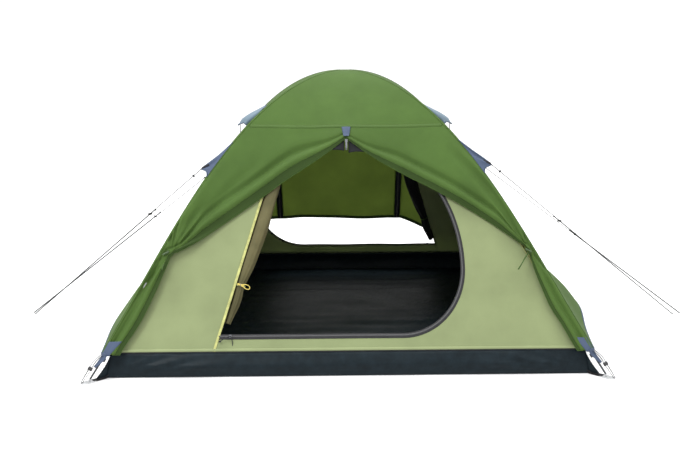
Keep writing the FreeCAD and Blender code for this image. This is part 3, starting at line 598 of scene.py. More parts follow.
def studio():
    s = Shader("studio_floor")
    fleck = s.noise(s.coordinates("Object"), 3.0)
    s.color(s.ramp(fleck, ((0.3, (0.82, 0.82, 0.82)), (0.7, (0.84, 0.84, 0.84)))))
    s.set(Roughness=0.9, Emission_Color=(1.0, 1.0, 1.0, 1.0), Emission_Strength=0.22)
    floor = mesh_object("studio_floor", [(-400, -400, -0.0015), (400, -400, -0.0015), (400, 400, -0.0015),
                                         (-400, 400, -0.0015)],
                        [(0, 1, 2, 3)], None, None, s.material)
    floor.visible_diffuse = False
    world = bpy.data.worlds.new("studio")
    bpy.context.scene.world = world
    world.use_nodes = True
    background = world.node_tree.nodes["Background"]
    background.inputs[0].default_value = (1.0, 1.0, 1.0, 1.0)
    background.inputs[1].default_value = 0.80
    for name, place, aim, size, power in (
            ("key", (-3.5, -3.0, 6.5), (0, 0, 0.4), 3.0, 230),
            ("fill", (4.5, -3.5, 4.5), (0, 0, 0.4), 5.0, 60),
            ("top", (0, 1.5, 6.5), (0, 0, 0.5), 5.0, 180)):
        lamp = bpy.data.lights.new(name, "AREA")
        lamp.shape = "DISK"
        lamp.size = size
        lamp.energy = power
        obj = bpy.data.objects.new(name, lamp)
        bpy.context.scene.collection.objects.link(obj)
        obj.location = place
        obj.rotation_mode = "QUATERNION"
        obj.rotation_quaternion = (Vector(aim) - Vector(place)).to_track_quat("-Z", "Y")
    view = bpy.context.scene.view_settings
    view.view_transform = "Standard"
    view.exposure = 0.4


camera()
studio()


# ---------------------------------------------------------------- guylines

GUYS = {
    "front_left": ((-0.664, -0.530, 0.845), (-1.636, -0.012, 0.009), 0.28),
    "front_right": ((0.664, -0.540, 0.858), (1.698, -0.120, 0.009), 0.346),
    "rear_left": ((-0.762, 0.622, 0.663), (-1.646, 0.012, 0.009), 0.335),
    "rear_right": ((0.690, 0.558, 0.773), (1.737, -0.096, 0.009), 0.532),
}
GUY_SPACING = 0.0085
GUY_R = 0.0016


def nurbs(name, points, radius, material, body="tent"):
    data = bpy.data.curves.new(name, "CURVE")
    data.dimensions = "3D"
    line = data.splines.new("NURBS")
    line.points.add(len(points) - 1)
    for control, p in zip(line.points, points):
        control.co = (*p, 1.0)
    line.order_u = 3
    line.use_endpoint_u = True
    line.resolution_u = 16
    data.bevel_depth = radius
    data.bevel_resolution = 3
    data.use_fill_caps = True
    data.materials.append(material)
    obj = bpy.data.objects.new(name, data)
    bpy.context.scene.collection.objects.link(obj)
    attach(obj, body)
    return obj


def knot(name, centre, along, radius, material, body="tent"):
    """An overhand knot drawn tight: a trefoil of cord."""
    a = np.linspace(0, 2 * math.pi, 49)[:-1]
    ring = np.stack([np.sin(a) + 2 * np.sin(2 * a), np.cos(a) - 2 * np.cos(2 * a), -1.1 * np.sin(3 * a)],
                    axis=1)
    ring *= radius * 0.95
    axis = Vector(along).normalized()
    turn = np.array(axis.to_track_quat("X", "Z").to_matrix())
    line = ring[:, [2, 0, 1]] @ turn.T + np.asarray(centre, float)
    line = np.vstack([line, line[:1]])
    return ribbon(name, line, axis, round_section(radius, 8), material, body, caps=False)


def guylines():
    for name, (top, ground, fraction) in GUYS.items():
        top, ground = np.array(top), np.array(ground)
        along = unit(ground - top)
        across = unit(np.cross(along, (0, 0, 1)))
        across = across if across[1] > 0 else -across
        far = ground
        back = far + across * GUY_SPACING
        slider = top + (ground - top) * fraction + across * GUY_SPACING
        end = slider - along * 0.038
        route = [top, ground - along * 0.016, far, back, back - along * 0.016, end]
        line = nurbs("line_" + name, route, GUY_R, guy_m)
        end_knot = knot("line_end_knot_" + name, end, along, 0.0016, pull_m)
        top_knot = knot("line_top_knot_" + name, top + along * 0.055, along, 0.0019, pull_m)
        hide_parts("guyline_" + name)
        nodes["runner_" + name].data.materials.clear()
        nodes["runner_" + name].data.materials.append(black_m)


guylines()


# ---------------------------------------------------------------- the dome's surfaces

RIDGE_ROUND = {FLY: 0.020, INNER: 0.018}


def dome(side, w, t, dims, lift=0.0):
    """Point on one side of a dome at the share w of the way to the ridges, before it settles."""
    w, t = np.broadcast_arrays(np.asarray(w, float), np.asarray(t, float))
    half_w, half_d, top = dims
    run, cross = (half_d, half_w) if side in ("front", "rear") else (half_w, half_d)
    rounding = np.minimum(RIDGE_ROUND[dims], 0.5 * cross * t)
    part = np.clip(1 - (1 - np.abs(w)) * cross * t / np.maximum(rounding, 1e-9), 0, 1) / 2
    shift = part ** 2 * rounding
    x = w * cross * t - np.sign(w) * shift
    y = -run * t + shift
    z = arch(t, top)
    slope = (arch(t + 0.001, top) - arch(t - 0.001, top)) / 0.002 / run
    normal = unit(np.stack([np.zeros_like(slope), slope, np.ones_like(slope)], axis=-1))
    p = np.stack([x, y, z], axis=-1)
    out = SETTLE[dims](side, w, t, z) + lift
    return turned(p + normal * out[..., None], side)


def fly_settle(side, w, t, z):
    """How far the fly stands out from its plain shape: a shallow hollow between the poles, a lifted hem."""
    hollow = -0.014 * (1 - w ** 2) * smooth(0.05, 0.35, t)
    if side in ("left", "right"):
        vent = bump(1.02, 0.11, z) * bump(0, 0.45, w)
        hollow = hollow * (1 - np.minimum(vent * 1.2, 1))
        edge = smooth(0.50, 0.14, z) * (1 - np.abs(w) ** 6)
        if side == "right":
            flare = 0.048 * edge * (0.72 + 0.28 * np.sin(9 * w + 0.8))
            flare += 0.020 * bump(-0.62, 0.20, w) * smooth(0.42, 0.24, z)
        else:
            flare = 0.034 * edge * (0.8 + 0.2 * np.sin(8 * w + 2.0))
        hollow = hollow * (1 - edge) + flare
    if side == "rear":
        edge = smooth(0.62, 0.34, z) * (1 - np.abs(w) ** 4)
        hollow = hollow + edge * (0.016 + 0.007 * np.sin(10 * w))
    x = w * t * 1.02
    p = np.stack([x, z, np.full_like(z, 2.0 * len(side))], axis=-1)
    fade = (1 - np.abs(w) ** 3) * smooth(0.06, 0.3, t)
    loose = 0.35 + 0.65 * smooth(0.75, 0.25, z)
    out = hollow + fade * loose * 0.0035 * ripple(p, 0.34, 11 + len(side), (1.3, 0.6, 1))
    if side == "rear":
        for zip_x in REAR_ZIP_X:
            out = out * (1 - bump(-zip_x, 0.060, w * t * FLY[0]))
    if side == "front":
        out = out * (1 - bump(0.0, 0.10, w * t) * bump(0.985, 0.07, z))
    return out


def inner_settle(side, w, t, z):
    hollow = -0.010 * (1 - w ** 2) * smooth(0.05, 0.35, t) * smooth(0.105, 0.3, z)
    x = w * t
    p = np.stack([x, z, np.full_like(z, 3.0 * len(side))], axis=-1)
    fade = (1 - np.abs(w) ** 4) * smooth(0.06, 0.3, t) * smooth(0.105, 0.18, z)
    return hollow + fade * 0.0022 * ripple(p, 0.30, 31 + len(side), (1.2, 0.7, 1))


SETTLE = {FLY: fly_settle, INNER: inner_settle}


def front_at(x, z, dims, lift=0.0, side="front"):
    """Point of the front side over the given x and height."""
    x, z = np.broadcast_arrays(np.asarray(x, float), np.asarray(z, float))
    t = arch_t(z, dims[2])
    cross = dims[0] if side in ("front", "rear") else dims[1]
    w = np.clip(x / (cross * t), -1, 1)
    return dome(side, w, t, dims, lift)


def front_normal(x, z, dims):
    step = 0.004
    a = front_at(x + step, z, dims) - front_at(x - step, z, dims)
    b = front_at(x, z + step, dims) - front_at(x, z - step, dims)
    return unit(np.cross(a, b))


# ---------------------------------------------------------------- the fly

def tape(name, side, line, offsets, heights, material, slot, dims=FLY, thick=0.0008, at=0.0):
    """A tape laid on the cloth along a line of x and z; offsets run across it.  UV: along, across."""
    line = np.asarray(line, float)
    offsets, heights = np.asarray(offsets, float), np.asarray(heights, float)
    step = np.gradient(line, axis=0)
    outward = unit(np.stack([step[:, 1], -step[:, 0]], axis=1))
    flat = line[:, None] + outward[:, None] * offsets[None, :, None]
    p = front_at(flat[..., 0], flat[..., 1], dims, heights[None], side)
    along = np.concatenate([[0], np.cumsum(np.linalg.norm(np.diff(line, axis=0), axis=1))])
    patches = Patches()
    patches.grid(p, joined(along[:, None], (offsets + at)[None]))
    return patches.made(name, material, thick=thick)


SEAM_T = float(arch_t(SEAM_Z, FLY[2]))
COLUMNS = 121
RIDGE_ROWS = 121
RIDGE_Z = np.linspace(SEAM_Z, HEM_Z, RIDGE_ROWS)


def rear_hem_at(x):
    return np.interp(x, [p[0] for p in REAR_HEM], [p[1] for p in REAR_HEM])


def rear_hem(w):
    """Height of the rear hem at the share w of the way to the ridges."""
    z = np.full(np.shape(w), 0.3)
    for _ in range(20):
        z = rear_hem_at(w * FLY[0] * arch_t(z, FLY[2]))
    return z


def fly_walls(patches):
    w = np.linspace(-1, 1, COLUMNS)[None]
    for side in SIDES:
        t = np.linspace(0, SEAM_T, 52)[:, None]
        p = dome(side, w, t, FLY)
        patches.grid(p, joined(w * t, t + 3 * SIDES[side]))
    down = np.linspace(0, 1, RIDGE_ROWS)[:, None]
    for side in ("right", "left", "rear"):
        hem = rear_hem(w) if side == "rear" else lerp(SIDE_HEM_Z, HEM_Z, w ** 2)
        z = lerp(SEAM_Z, hem, down)
        t = arch_t(z, FLY[2])
        p = dome(side, w, t, FLY)
        uv = joined(w * t, t + 3 * SIDES[side])
        keep = None
        if side != "rear":
            cross = w * t * FLY[1]
            middle_x = (cross[1:, 1:] + cross[:-1, :-1]) / 2
            middle_z = (z[1:, 1:] + z[:-1, :-1]) / 2
            keep = ~((np.abs(middle_x) < 0.095) & (middle_z > 0.962) & (middle_z < 1.018))
        patches.grid(p, uv, keep)


FLAPS = {
    "left": dict(sign=-1, tie=(-0.778, 0.506), edge=((0, 0.976), (-0.140, 0.893), (-0.279, 0.812),
                                                     (-0.382, 0.742),
                 (-0.523, 0.650), (-0.660, 0.560), (-0.752, 0.510)),
                 below=((-0.790, 0.470), (-0.842, 0.350), (-0.900, 0.235), (-0.958, 0.150), (-0.984, 0.108)),
                 hem=1.0, crest=1.0),
    "right": dict(sign=1, tie=(0.800, 0.515), edge=((0, 0.976), (0.120, 0.905), (0.243, 0.842),
                                                    (0.464, 0.732),
                  (0.640, 0.628), (0.778, 0.532)),
                  below=((0.806, 0.490), (0.824, 0.430), (0.850, 0.360), (0.884, 0.280), (0.925, 0.215),
                         (0.962, 0.150),
                        (0.988, 0.108)),
                  hem=0.72, crest=0.8),
}
# The rolled edge of a flap: distance from the edge (up the cloth) and height above the cloth
ROLL = np.array([(0.110, 0.000), (0.090, -0.003), (0.072, -0.014), (0.062, -0.016), (0.052, -0.006),
                 (0.040, 0.008),
                 (0.024, 0.014), (0.011, 0.010), (0.003, 0.002), (-0.006, -0.006), (-0.016, -0.013),
                 (-0.026, -0.019), (-0.030, -0.021), (-0.022, -0.023), (0.000, -0.022), (0.030, -0.021)])
ROLL_STEPS = 64
SHEET_STEPS = 64


def flap_lines(flap):
    """Upper border and free edge of a flap, as x and z, column by column from the zip to the corner."""
    sign = flap["sign"]
    seam_cols = (COLUMNS - 1) // 2 + 1
    seam_x = np.linspace(0, 1, seam_cols) * SEAM_T * FLY[0] * sign
    upper = np.stack([seam_x, np.full(seam_cols, SEAM_Z)], axis=1)
    ridge_t = arch_t(RIDGE_Z, FLY[2])
    ridge = np.stack([sign * FLY[0] * ridge_t, RIDGE_Z], axis=1)[1:]
    upper = np.concatenate([upper, ridge])
    count = len(upper)
    tie_from, tie_to = int(count * 0.56), int(count * 0.70)
    tie = np.array(flap["tie"])
    first = spline(flap["edge"], tie_from)
    below = spline(flap["below"], count - tie_to)
    gather = np.stack([lerp(first[-1], below[0], u) for u in np.linspace(0, 1, tie_to - tie_from + 2)[1:-1]])
    gather = lerp(gather, tie, 0.5)
    return upper, np.concatenate([first, gather, below]), tie_from, tie_to


def flap_patch(patches, flap):
    upper, edge, tie_from, tie_to = flap_lines(flap)
    count = len(edge)
    column = np.arange(count)
    tie = np.array(flap["tie"])
    sign = flap["sign"]
    place = np.where(column < tie_from, column / tie_from, 1.0)
    from_tie = np.linalg.norm(edge - tie, axis=1)
    size = lerp(0.30, 1.0, smooth(0.0, 0.35, place)) * flap["crest"]
    pinch = smooth(0.0, 0.16, from_tie)
    size = size * lerp(0.34, 1.0, pinch)
    size = np.where(column > tie_to, size * lerp(1.0, 0.62, smooth(tie_to, count - 1, column)), size)
    up = unit(upper - edge)
    up = np.where((np.linalg.norm(upper - edge, axis=1) < 0.02)[:, None], unit(np.array([sign * 0.8, 0.6])),
                  up)
    span = np.linalg.norm(upper - edge, axis=1)
    fit = np.minimum(1.0, span / (0.140 * np.maximum(size, 1e-6)))
    size = size * np.maximum(fit, 0.05)
    crest_edge = edge + up * (0.026 * size * flap["hem"])[:, None]
    join = crest_edge + up * (ROLL[0, 0] * size)[:, None]
    rows = []
    lifts = []
    for u in np.linspace(0, 1, SHEET_STEPS, endpoint=False):
        rows.append(lerp(upper, join, u))
        lifts.append(np.zeros(count))
    profile = spline(ROLL, ROLL_STEPS)
    for a, h in profile:
        stretch = flap["hem"] if a < 0 else 1.0
        rows.append(crest_edge + up * (a * stretch * size)[:, None])
        lifts.append(h * size)
    flat = np.array(rows)
    lift = np.array(lifts)
    lift = lift + flap_folds(flat, flap)
    x, z = flat[..., 0], flat[..., 1]
    p = front_at(x, z, FLY)
    normal = front_normal(x, z, FLY)
    p = p + normal * lift[..., None]
    along = np.cumsum(np.concatenate([[0], np.linalg.norm(np.diff(edge, axis=0), axis=1)]))
    uv = np.stack([flat[..., 0], flat[..., 1] + 8], axis=-1)
    patches.grid(p, uv)
    # A dark strip laid over the underside of the rolled edge, in fly green at 0.48: painted shade under the
    # roll.
    under = [SHEET_STEPS + k for k, (a, h) in enumerate(profile) if -0.0292 < a < 0.006 and h > -0.0215]
    strip = p[under[0]:under[-1] + 1] + normal[under[0]:under[-1] + 1] * 0.0012
    binding = Patches()
    binding.grid(strip, joined(along[None], 0.0012 * np.arange(len(strip))[:, None]))
    binding.made("flap_roll_shade_" + ("right" if sign > 0 else "left"), roll_underside_shade_m)


def flap_folds(flat, flap):
    """Creases that run out from the tie, and the long soft fold across the right flap."""
    sign = flap["sign"]
    tie = np.array(flap["tie"])
    away = flat - tie
    distance = np.linalg.norm(away, axis=-1)
    angle = np.arctan2(away[..., 1], -sign * away[..., 0])
    reach = (distance / 0.085) * np.exp(1 - distance / 0.085)
    far = (distance / 0.22) * np.exp(1 - distance / 0.22)
    width = np.linalg.norm(flat[0] - flat[-1], axis=-1)
    across = np.clip(np.linalg.norm(flat - flat[0][None], axis=-1) / np.maximum(width, 1e-6), 0, 1)
    fade = smooth(0.0, 0.25, across)
    wave = np.sin(angle * 17 + 0.6 * np.sin(angle * 5)) * 0.6 + np.sin(angle * 29 + 1.3) * 0.4
    folds = 0.0075 * reach * wave * fade
    broad = np.sin(angle * 6.0 + (0.4 if sign < 0 else 1.7))
    folds += 0.007 * far * broad * fade
    if sign > 0:
        start, end = np.array((0.430, 0.960)), tie
        line = unit(end - start)
        rel = flat - start
        run = rel @ line
        off = rel @ np.array((-line[1], line[0]))
        off = off - 0.035 * np.sin(np.clip(run / np.linalg.norm(end - start), 0, 1) * math.pi)
        strength = smooth(0.0, 0.25, run) * smooth(0.62, 0.40, run)
        folds += strength * (-0.016 * bump(0, 0.020, off) + 0.012 * bump(0.035, 0.030, off)) * fade
    else:
        start, end = np.array((-0.300, 0.900)), tie
        line = unit(end - start)
        rel = flat - start
        run = rel @ line
        off = rel @ np.array((-line[1], line[0]))
        strength = smooth(0.0, 0.3, run) * smooth(0.68, 0.45, run)
        folds += strength * (-0.008 * bump(-0.05, 0.022, off) + 0.005 * bump(-0.015, 0.02, off)) * fade
    calm = np.linalg.norm(flat - np.array((sign * 0.800, 0.507)), axis=-1)
    return folds * (1 - 0.9 * bump(0.0, 0.045, calm))


def fly():
    patches = Patches()
    fly_walls(patches)
    for flap in FLAPS.values():
        flap_patch(patches, flap)
    body = patches.made("fly_cloth", fly_cloth_m, weld=0.0002, thick=0.0008)
    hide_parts("fly_roof", "fly_front_flap_left", "fly_front_flap_right", "fly_left_panel",
                "fly_right_panel", "fly_rear_panel")
    return body


fly()


# ---------------------------------------------------------------- the inner tent

def door_line(count=260):
    """The D of the door, from the foot of the hinge edge along the sill and up the curve to its top."""
    right_x = 0.510
    centre_z = 0.435
    arch_r = 0.587
    line = [(HINGE_X, SILL_Z), (0.240, SILL_Z)]
    for a in np.radians(np.linspace(-90, 0, 40)[1:]):
        line.append((0.240 + 0.270 * math.cos(a), centre_z + 0.270 * math.sin(a)))
    for a in np.radians(np.linspace(0, 170, 200)[1:]):
        x, z = right_x - arch_r + arch_r * math.cos(a), centre_z + arch_r * math.sin(a)
        if x < HINGE_X + HINGE_LEAN * (z - SILL_Z):
            break
        line.append((x, z))
    return even(np.array(line), count)


def closed_distance(points, outline):
    """Signed distance to a closed outline (negative inside) and the nearest point on it."""
    a = outline
    b = np.roll(outline, -1, axis=0)
    best = np.full(points.shape[:-1], 1e9)
    near = np.zeros(points.shape)
    inside = np.zeros(points.shape[:-1], bool)
    for p, q in zip(a, b):
        d = q - p
        u = np.clip(((points - p) @ d) / max(d @ d, 1e-12), 0, 1)
        c = p + u[..., None] * d
        r = np.linalg.norm(points - c, axis=-1)
        better = r < best
        best = np.where(better, r, best)
        near = np.where(better[..., None], c, near)
        crosses = (p[1] > points[..., 1]) != (q[1] > points[..., 1])
        level = (q[0] - p[0]) * (points[...,
                                        1] - p[1]) / (q[1] - p[1] if abs(q[1]
                                                                         - p[1]) > 1e-12 else 1e-12) + p[0]
        inside ^= crosses & (points[..., 0] < level)
    return np.where(inside, -best, best), near


def inner_wall(side, name, door):
    t_low = float(arch_t(TUB_Z - 0.002, INNER[2]))
    rows, cols = 131, 171
    t = np.linspace(0.028, t_low, rows)[:, None]
    w = np.linspace(-1, 1, cols)[None]
    w, t = np.broadcast_arrays(w, t)
    patches = Patches()
    keep = None
    if door:
        z = arch(t, INNER[2])
        x = w * INNER[0] * t
        flat = np.stack([x, z], axis=-1)
        outline = door_line(160)
        distance, near = closed_distance(flat, outline)
        snap = (np.abs(distance) < 0.0075)[..., None]
        flat = np.where(snap, near, flat)
        t = arch_t(flat[..., 1], INNER[2])
        w = np.clip(flat[..., 0] / (INNER[0] * t), -1, 1)
        middle = (flat[1:, 1:] + flat[:-1, :-1] + flat[1:, :-1] + flat[:-1, 1:]) / 4
        gone, _ = closed_distance(middle, outline)
        keep = gone > 0
    p = dome(side, w, t, INNER)
    uv = np.stack([w * t, t], axis=-1)
    patches.grid(p, uv, keep)
    wall = patches.made(name + "_cloth", inner_cloth_m, thick=0.0006)
    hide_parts(name)
    return wall


for side, name, door in (("front", "inner_front_panel", True), ("rear", "inner_rear_panel", True),
                         ("left", "inner_left_panel", False), ("right", "inner_right_panel", False)):
    inner_wall(side, name, door)


def inner_tapes():
    """Zips and bindings of the two D doors, and the binding over each ridge of the inner tent."""
    line = door_line(420)
    offsets = np.array([-0.008, -0.0072, -0.003, -0.0015, 0.0015, 0.003, 0.0068, 0.0112, 0.012])
    heights = np.array([0.0006, 0.0016, 0.0018, 0.0036, 0.0036, 0.0018, 0.0018, 0.0016, 0.0006])
    for side, name in (("front", "front_door_zip"), ("rear", "rear_door_zip")):
        piece = tape(name + "_tape", side, line, offsets, heights, door_zip_m, "zip_tape", INNER, at=0.010)
        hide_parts(name)
    z = np.linspace(SILL_Z - 0.058, 0.965, 90)
    for side in ("front", "rear"):
        x = HINGE_X + HINGE_LEAN * (z - SILL_Z)
        centre = front_at(x - 0.002, z, INNER, 0.0012, side)
        across = np.array((1, 0, 0)) if side == "front" else np.array((-1, 0, 0))
        ribbon("door_binding_" + side, centre, across, flat_section(0.011, 0.0022, 0.0006), binding_m)
    t = np.linspace(0.03, float(arch_t(TUB_Z + 0.004, INNER[2])), 120)
    for corner, (sx, sy) in CORNERS.items():
        side = "front" if sy < 0 else "rear"
        w = np.full_like(t, 0.999 * (sx if sy < 0 else -sx))
        line3 = dome(side, w, t, INNER, 0.0)
        out = unit(np.array((sx, sy, 0.0)))
        line3 = line3 + out * 0.001
        across = unit(np.cross(out, (0, 0, 1)))
        section = flat_section(0.013, 0.0016, -0.0035, 7)
        ribbon("inner_ridge_binding_" + corner, line3, across, section * (1, -1), binding_m)


inner_tapes()


def groundsheet():
    """Bathtub floor: wavy and glossy, with walls that fold over at mid height and creased corners."""
    top_t = float(arch_t(TUB_Z, INNER[2]))
    lean = (FLOOR[0] - INNER[0] * top_t, FLOOR[1] - INNER[1] * top_t)
    patches = Patches()
    up = np.array([0, 0.06, 0.14, 0.25, 0.38, 0.50, 0.58, 0.66, 0.76, 0.88, 1.0])[:, None]
    w = np.linspace(-1, 1, 221)[None]
    profile = np.interp(up, (0, 0.14, 0.50, 0.62, 1.0), (0.0, -0.35, -0.75, -0.40, 1.0))
    for side in SIDES:
        run, cross = (FLOOR[1], FLOOR[0]) if side in ("front", "rear") else (FLOOR[0], FLOOR[1])
        lean_run, lean_cross = (lean[1], lean[0]) if side in ("front", "rear") else (lean[0], lean[1])
        ends = np.abs(w) ** 6
        inset = lerp(profile, up, ends)
        x = w * (cross - lean_cross * up)
        y = -(run - lean_run * inset) + 0 * w
        z = up * TUB_Z + 0 * w
        from_corner = (1 - np.abs(w)) * cross
        slant = up * TUB_Z / np.maximum(from_corner + 0.02, 0.02)
        crease = np.zeros_like(x)
        for at, depth in ((0.13, 0.0110), (0.24, 0.0120), (0.42, 0.0090)):
            crease -= depth * bump(at, 0.035, slant) * smooth(0.0, 0.12,
                                                              from_corner) * smooth(0.75, 0.2, from_corner)
        swell = 0.0035 * ripple(np.stack([x, z * 4, y * 0], axis=-1), 0.30, 71 + len(side))
        free = (up * (1 - up) * 4) * (1 - ends)
        y = y - (crease + swell) * np.minimum(free * 1.4, 1) * -1
        p = turned(np.stack([x, y, z], axis=-1), side)
        patches.grid(p, joined(x, up * TUB_Z + 2))
    n = 111
    a = np.linspace(-1, 1, n)
    gx, gy = np.meshgrid(a, a)
    x, y = gx * FLOOR[0], gy * FLOOR[1]
    edge = smooth(1.0, 0.93, np.abs(gx)) * smooth(1.0, 0.93, np.abs(gy))
    q = np.stack([x, y, 0 * x], axis=-1)
    z = 0.0022 + edge * (0.0028 + 0.0028 * ripple(q, 0.42, 5, (0.8, 1.3, 1))
                         + 0.0016 * ripple(q, 0.15, 6, (0.5, 1.6, 1)))
    z = np.where(edge > 0, np.maximum(z, 0.0008), 0)
    patches.grid(np.stack([x, y, z], axis=-1), np.stack([x, y], axis=-1))
    sheet = patches.made("groundsheet_cloth", floor_m, weld=0.0004, thick=0.0008)
    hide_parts("groundsheet")
    return sheet


groundsheet()

# ---------------------------------------------------------------- tapes, seams and zips

def hem_tapes():
    w = np.linspace(-0.985, 0.985, 150)
    for side, middle in (("right", SIDE_HEM_Z), ("left", SIDE_HEM_Z), ("rear", 0)):
        z = rear_hem(w) if side == "rear" else lerp(middle, HEM_Z, w ** 2)
        cross = FLY[0] if side == "rear" else FLY[1]
        line = np.stack([w * cross * arch_t(z, FLY[2]), z], axis=1)
        if side == "rear":
            tape("fly_hem_rear", side, line, (-0.019, -0.018, -0.010, -0.002, 0.001),
                 (0.0003, 0.0010, 0.0012, 0.0012, 0.0002), green_tape_m, "fly_fabric", at=0.02)
            tape("fly_hem_rear_inside", side, line, (-0.019, -0.010, -0.001),
                 (-0.0016, -0.0018, -0.0016), green_tape_m, "fly_fabric", at=0.02)
        else:
            tape("fly_hem_" + side, side, line, (-0.011, -0.010, -0.005, 0.0005, 0.001),
                 (0.0003, 0.0012, 0.0014, 0.0012, -0.0010), blue_tape_m, "trim_fabric", at=0.012)
    for side in SIDES:
        cross = FLY[0] if side in ("front", "rear") else FLY[1]
        x = np.linspace(-0.965, 0.965, 90) * cross * SEAM_T
        tape("fly_roof_seam_" + side, side, np.stack([x, np.full_like(x, SEAM_Z)], axis=1),
             (-0.006, -0.0055, 0.0, 0.0055, 0.006), (0.0, 0.0008, 0.0013, 0.0008,
                                                     0.0), seam_m, "fly_fabric", at=0.006)
    t = np.linspace(0.03, float(arch_t(HEM_Z + 0.002, FLY[2])), 140)
    for corner, (sx, sy) in CORNERS.items():
        side = "front" if sy < 0 else "rear"
        line = dome(side, np.full_like(t, sx if sy < 0 else -sx), t, FLY, 0.0)
        out = unit(np.array((sx, sy, 0.0)))
        across = unit(np.cross(out, (0, 0, 1)))
        ribbon("fly_ridge_tape_" + corner, line + out * 0.0008, across,
               flat_section(0.013, 0.0014, -0.0030, 7) * (1, -1), seam_m)


def tub_tape():
    """Pale folded edge where the inner walls are sewn to the tub, and the dark seam under it."""
    for side in SIDES:
        cross = INNER[0] if side in ("front", "rear") else INNER[1]
        z = np.full(120, TUB_Z + 0.004)
        x = np.linspace(-0.995, 0.995, 120) * cross * arch_t(z, INNER[2])
        line = np.stack([x, z], axis=1)
        tape("inner_hem_" + side, side, line, (-0.010, -0.009, -0.004, 0.001, 0.002),
             (0.0004, 0.0018, 0.0024, 0.0018, 0.0004), pale_tape_m, "inner_fabric", INNER, at=0.01)
        tape("tub_seam_" + side, side, line, (0.002, 0.0035, 0.006, 0.007),
             (0.0006, 0.0016, 0.0016, 0.0004), strap_m, "floor_fabric", INNER, at=0.0)


def zips():
    for k, x in enumerate(REAR_ZIP_X):
        z = np.linspace(1.0, rear_hem_at(-x) + 0.004, 100)
        line = np.stack([np.full_like(z, -x), z], axis=1)
        offsets = np.linspace(-0.015, 0.015, 9)
        heights = -0.0030 - 0.0010 * (np.abs(offsets) < 0.004)
        piece = tape("rear_fly_zip_%d" % (k + 1), "rear", line, offsets, heights, fly_zip_m, "zip_tape",
                     at=0.015)
        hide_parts("rear_fly_zips")
        tape("rear_fly_zip_cover_%d" % (k + 1), "rear", line[:-3], (-0.020, -0.019, 0.0, 0.019, 0.020),
             (0.0002, 0.0012, 0.0032, 0.0030, 0.0016), fly_flap_m, "fly_fabric", at=0.02)
    z = np.linspace(1.024, 0.981, 14)
    half = np.interp(z, (0.981, 0.99, 1.024), (0.012, 0.015, 0.021))
    v = np.linspace(-1, 1, 11)
    p = front_at(v[None] * half[:, None], z[:, None] + 0 * v[None], FLY,
                 0.0035 + 0.0020 * (1 - v[None] ** 2) + 0.004 * smooth(0.99, 0.98, z)[:, None])
    patches = Patches()
    patches.grid(p, joined(v[None] * half[:, None], z[:, None]))
    patch = patches.made("zip_top_patch", patch_m, thick=0.0012)
    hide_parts("fly_zip_top_patch")
    # A black sheet 10 mm behind the fly on each side, widening downwards below the zip top: painted shade in
    # the gap under the apex, not a part of the tent.
    for name, sign in (("left", -1), ("right", 1)):
        z = np.linspace(0.975, 0.922 if sign > 0 else 0.930, 12)
        u = np.linspace(0, 1, 12)
        reach = 0.012 + (0.982 - z) * 1.62
        x = sign * lerp(0.010, reach[:, None], u[None])
        lift = -0.010 - 0.003 * u[None] + 0 * z[:, None]
        p = front_at(x, z[:, None] + 0.006 * np.sin(3 * u[None]), FLY, lift)
        patches = Patches()
        patches.grid(p, np.stack([x, z[:, None] + 0 * x], axis=-1))
        patches.made("apex_shade_sheet_" + name, net_cloth_m, thick=0.001)


# ---------------------------------------------------------------- guyout wings and loops

WING_T = {"front_left": (0.505, 0.585), "front_right": (0.50, 0.58),
          "rear_left": (0.64, 0.72), "rear_right": (0.57, 0.65)}


def wings():
    for name, (top, ground, _) in GUYS.items():
        sx, sy = CORNERS[name]
        side, w = ("front", sx) if sy < 0 else ("rear", -sx)
        top, ground = np.array(top), np.array(ground)
        along = unit(ground - top)
        t = np.linspace(WING_T[name][0] - 0.012, WING_T[name][1] + 0.012, 21)
        ridge = dome(side, np.full_like(t, w), t, FLY, 0.0)
        ridge = ridge + unit(np.array((sx, sy, 0.4))) * 0.0012
        tip = top - along * 0.010
        edge = unit(ridge[-1] - ridge[0])
        normal = unit(np.cross(edge, tip - ridge[10]))
        v = np.linspace(-1, 1, 21)
        u = np.linspace(0, 1, 22)[:, None]
        narrow = tip + edge * (v[:, None] * 0.0055)
        p = lerp(ridge[None], narrow[None], u[..., None])
        middle = lerp(ridge[10], tip, u)[:, None]
        p = p + (middle - p) * (0.20 * np.sin(math.pi * u))[..., None]
        p = p + normal * (0.003 * np.sin(math.pi * u) * np.sin(5 * v + 0.7))[..., None]
        patches = Patches()
        patches.grid(p, joined(v[None] * 0.05, u * 0.07))
        wing = patches.made("guyout_wing_" + name, patch_m, thick=0.0012)
        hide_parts("guyout_wings")
        for end, label in ((0, "upper"), (-1, "lower")):
            rim = p[:, end]
            ribbon("guyout_hem_%s_%s" % (name, label), rim, normal, flat_section(0.0030, 0.0045, 0.0004),
                   blue_tape_m)
        start = lerp(ridge[10], tip, 0.62)
        route = spline([start + normal * 0.0014, tip + normal * 0.0020, top - along * 0.003 + normal * 0.0026,
                        top + along * 0.0012, top - along * 0.003 - normal * 0.0026, tip - normal * 0.0020,
                        start - normal * 0.0014], 40)
        loop = ribbon("guyout_loop_" + name, route, edge, flat_section(0.0085, 0.0010), strap_m)
        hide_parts("guyout_loops")


# ---------------------------------------------------------------- vents

HOOD_HINGE = (0.40853, 1.08548)
HOOD_DROP = math.radians(33.0)


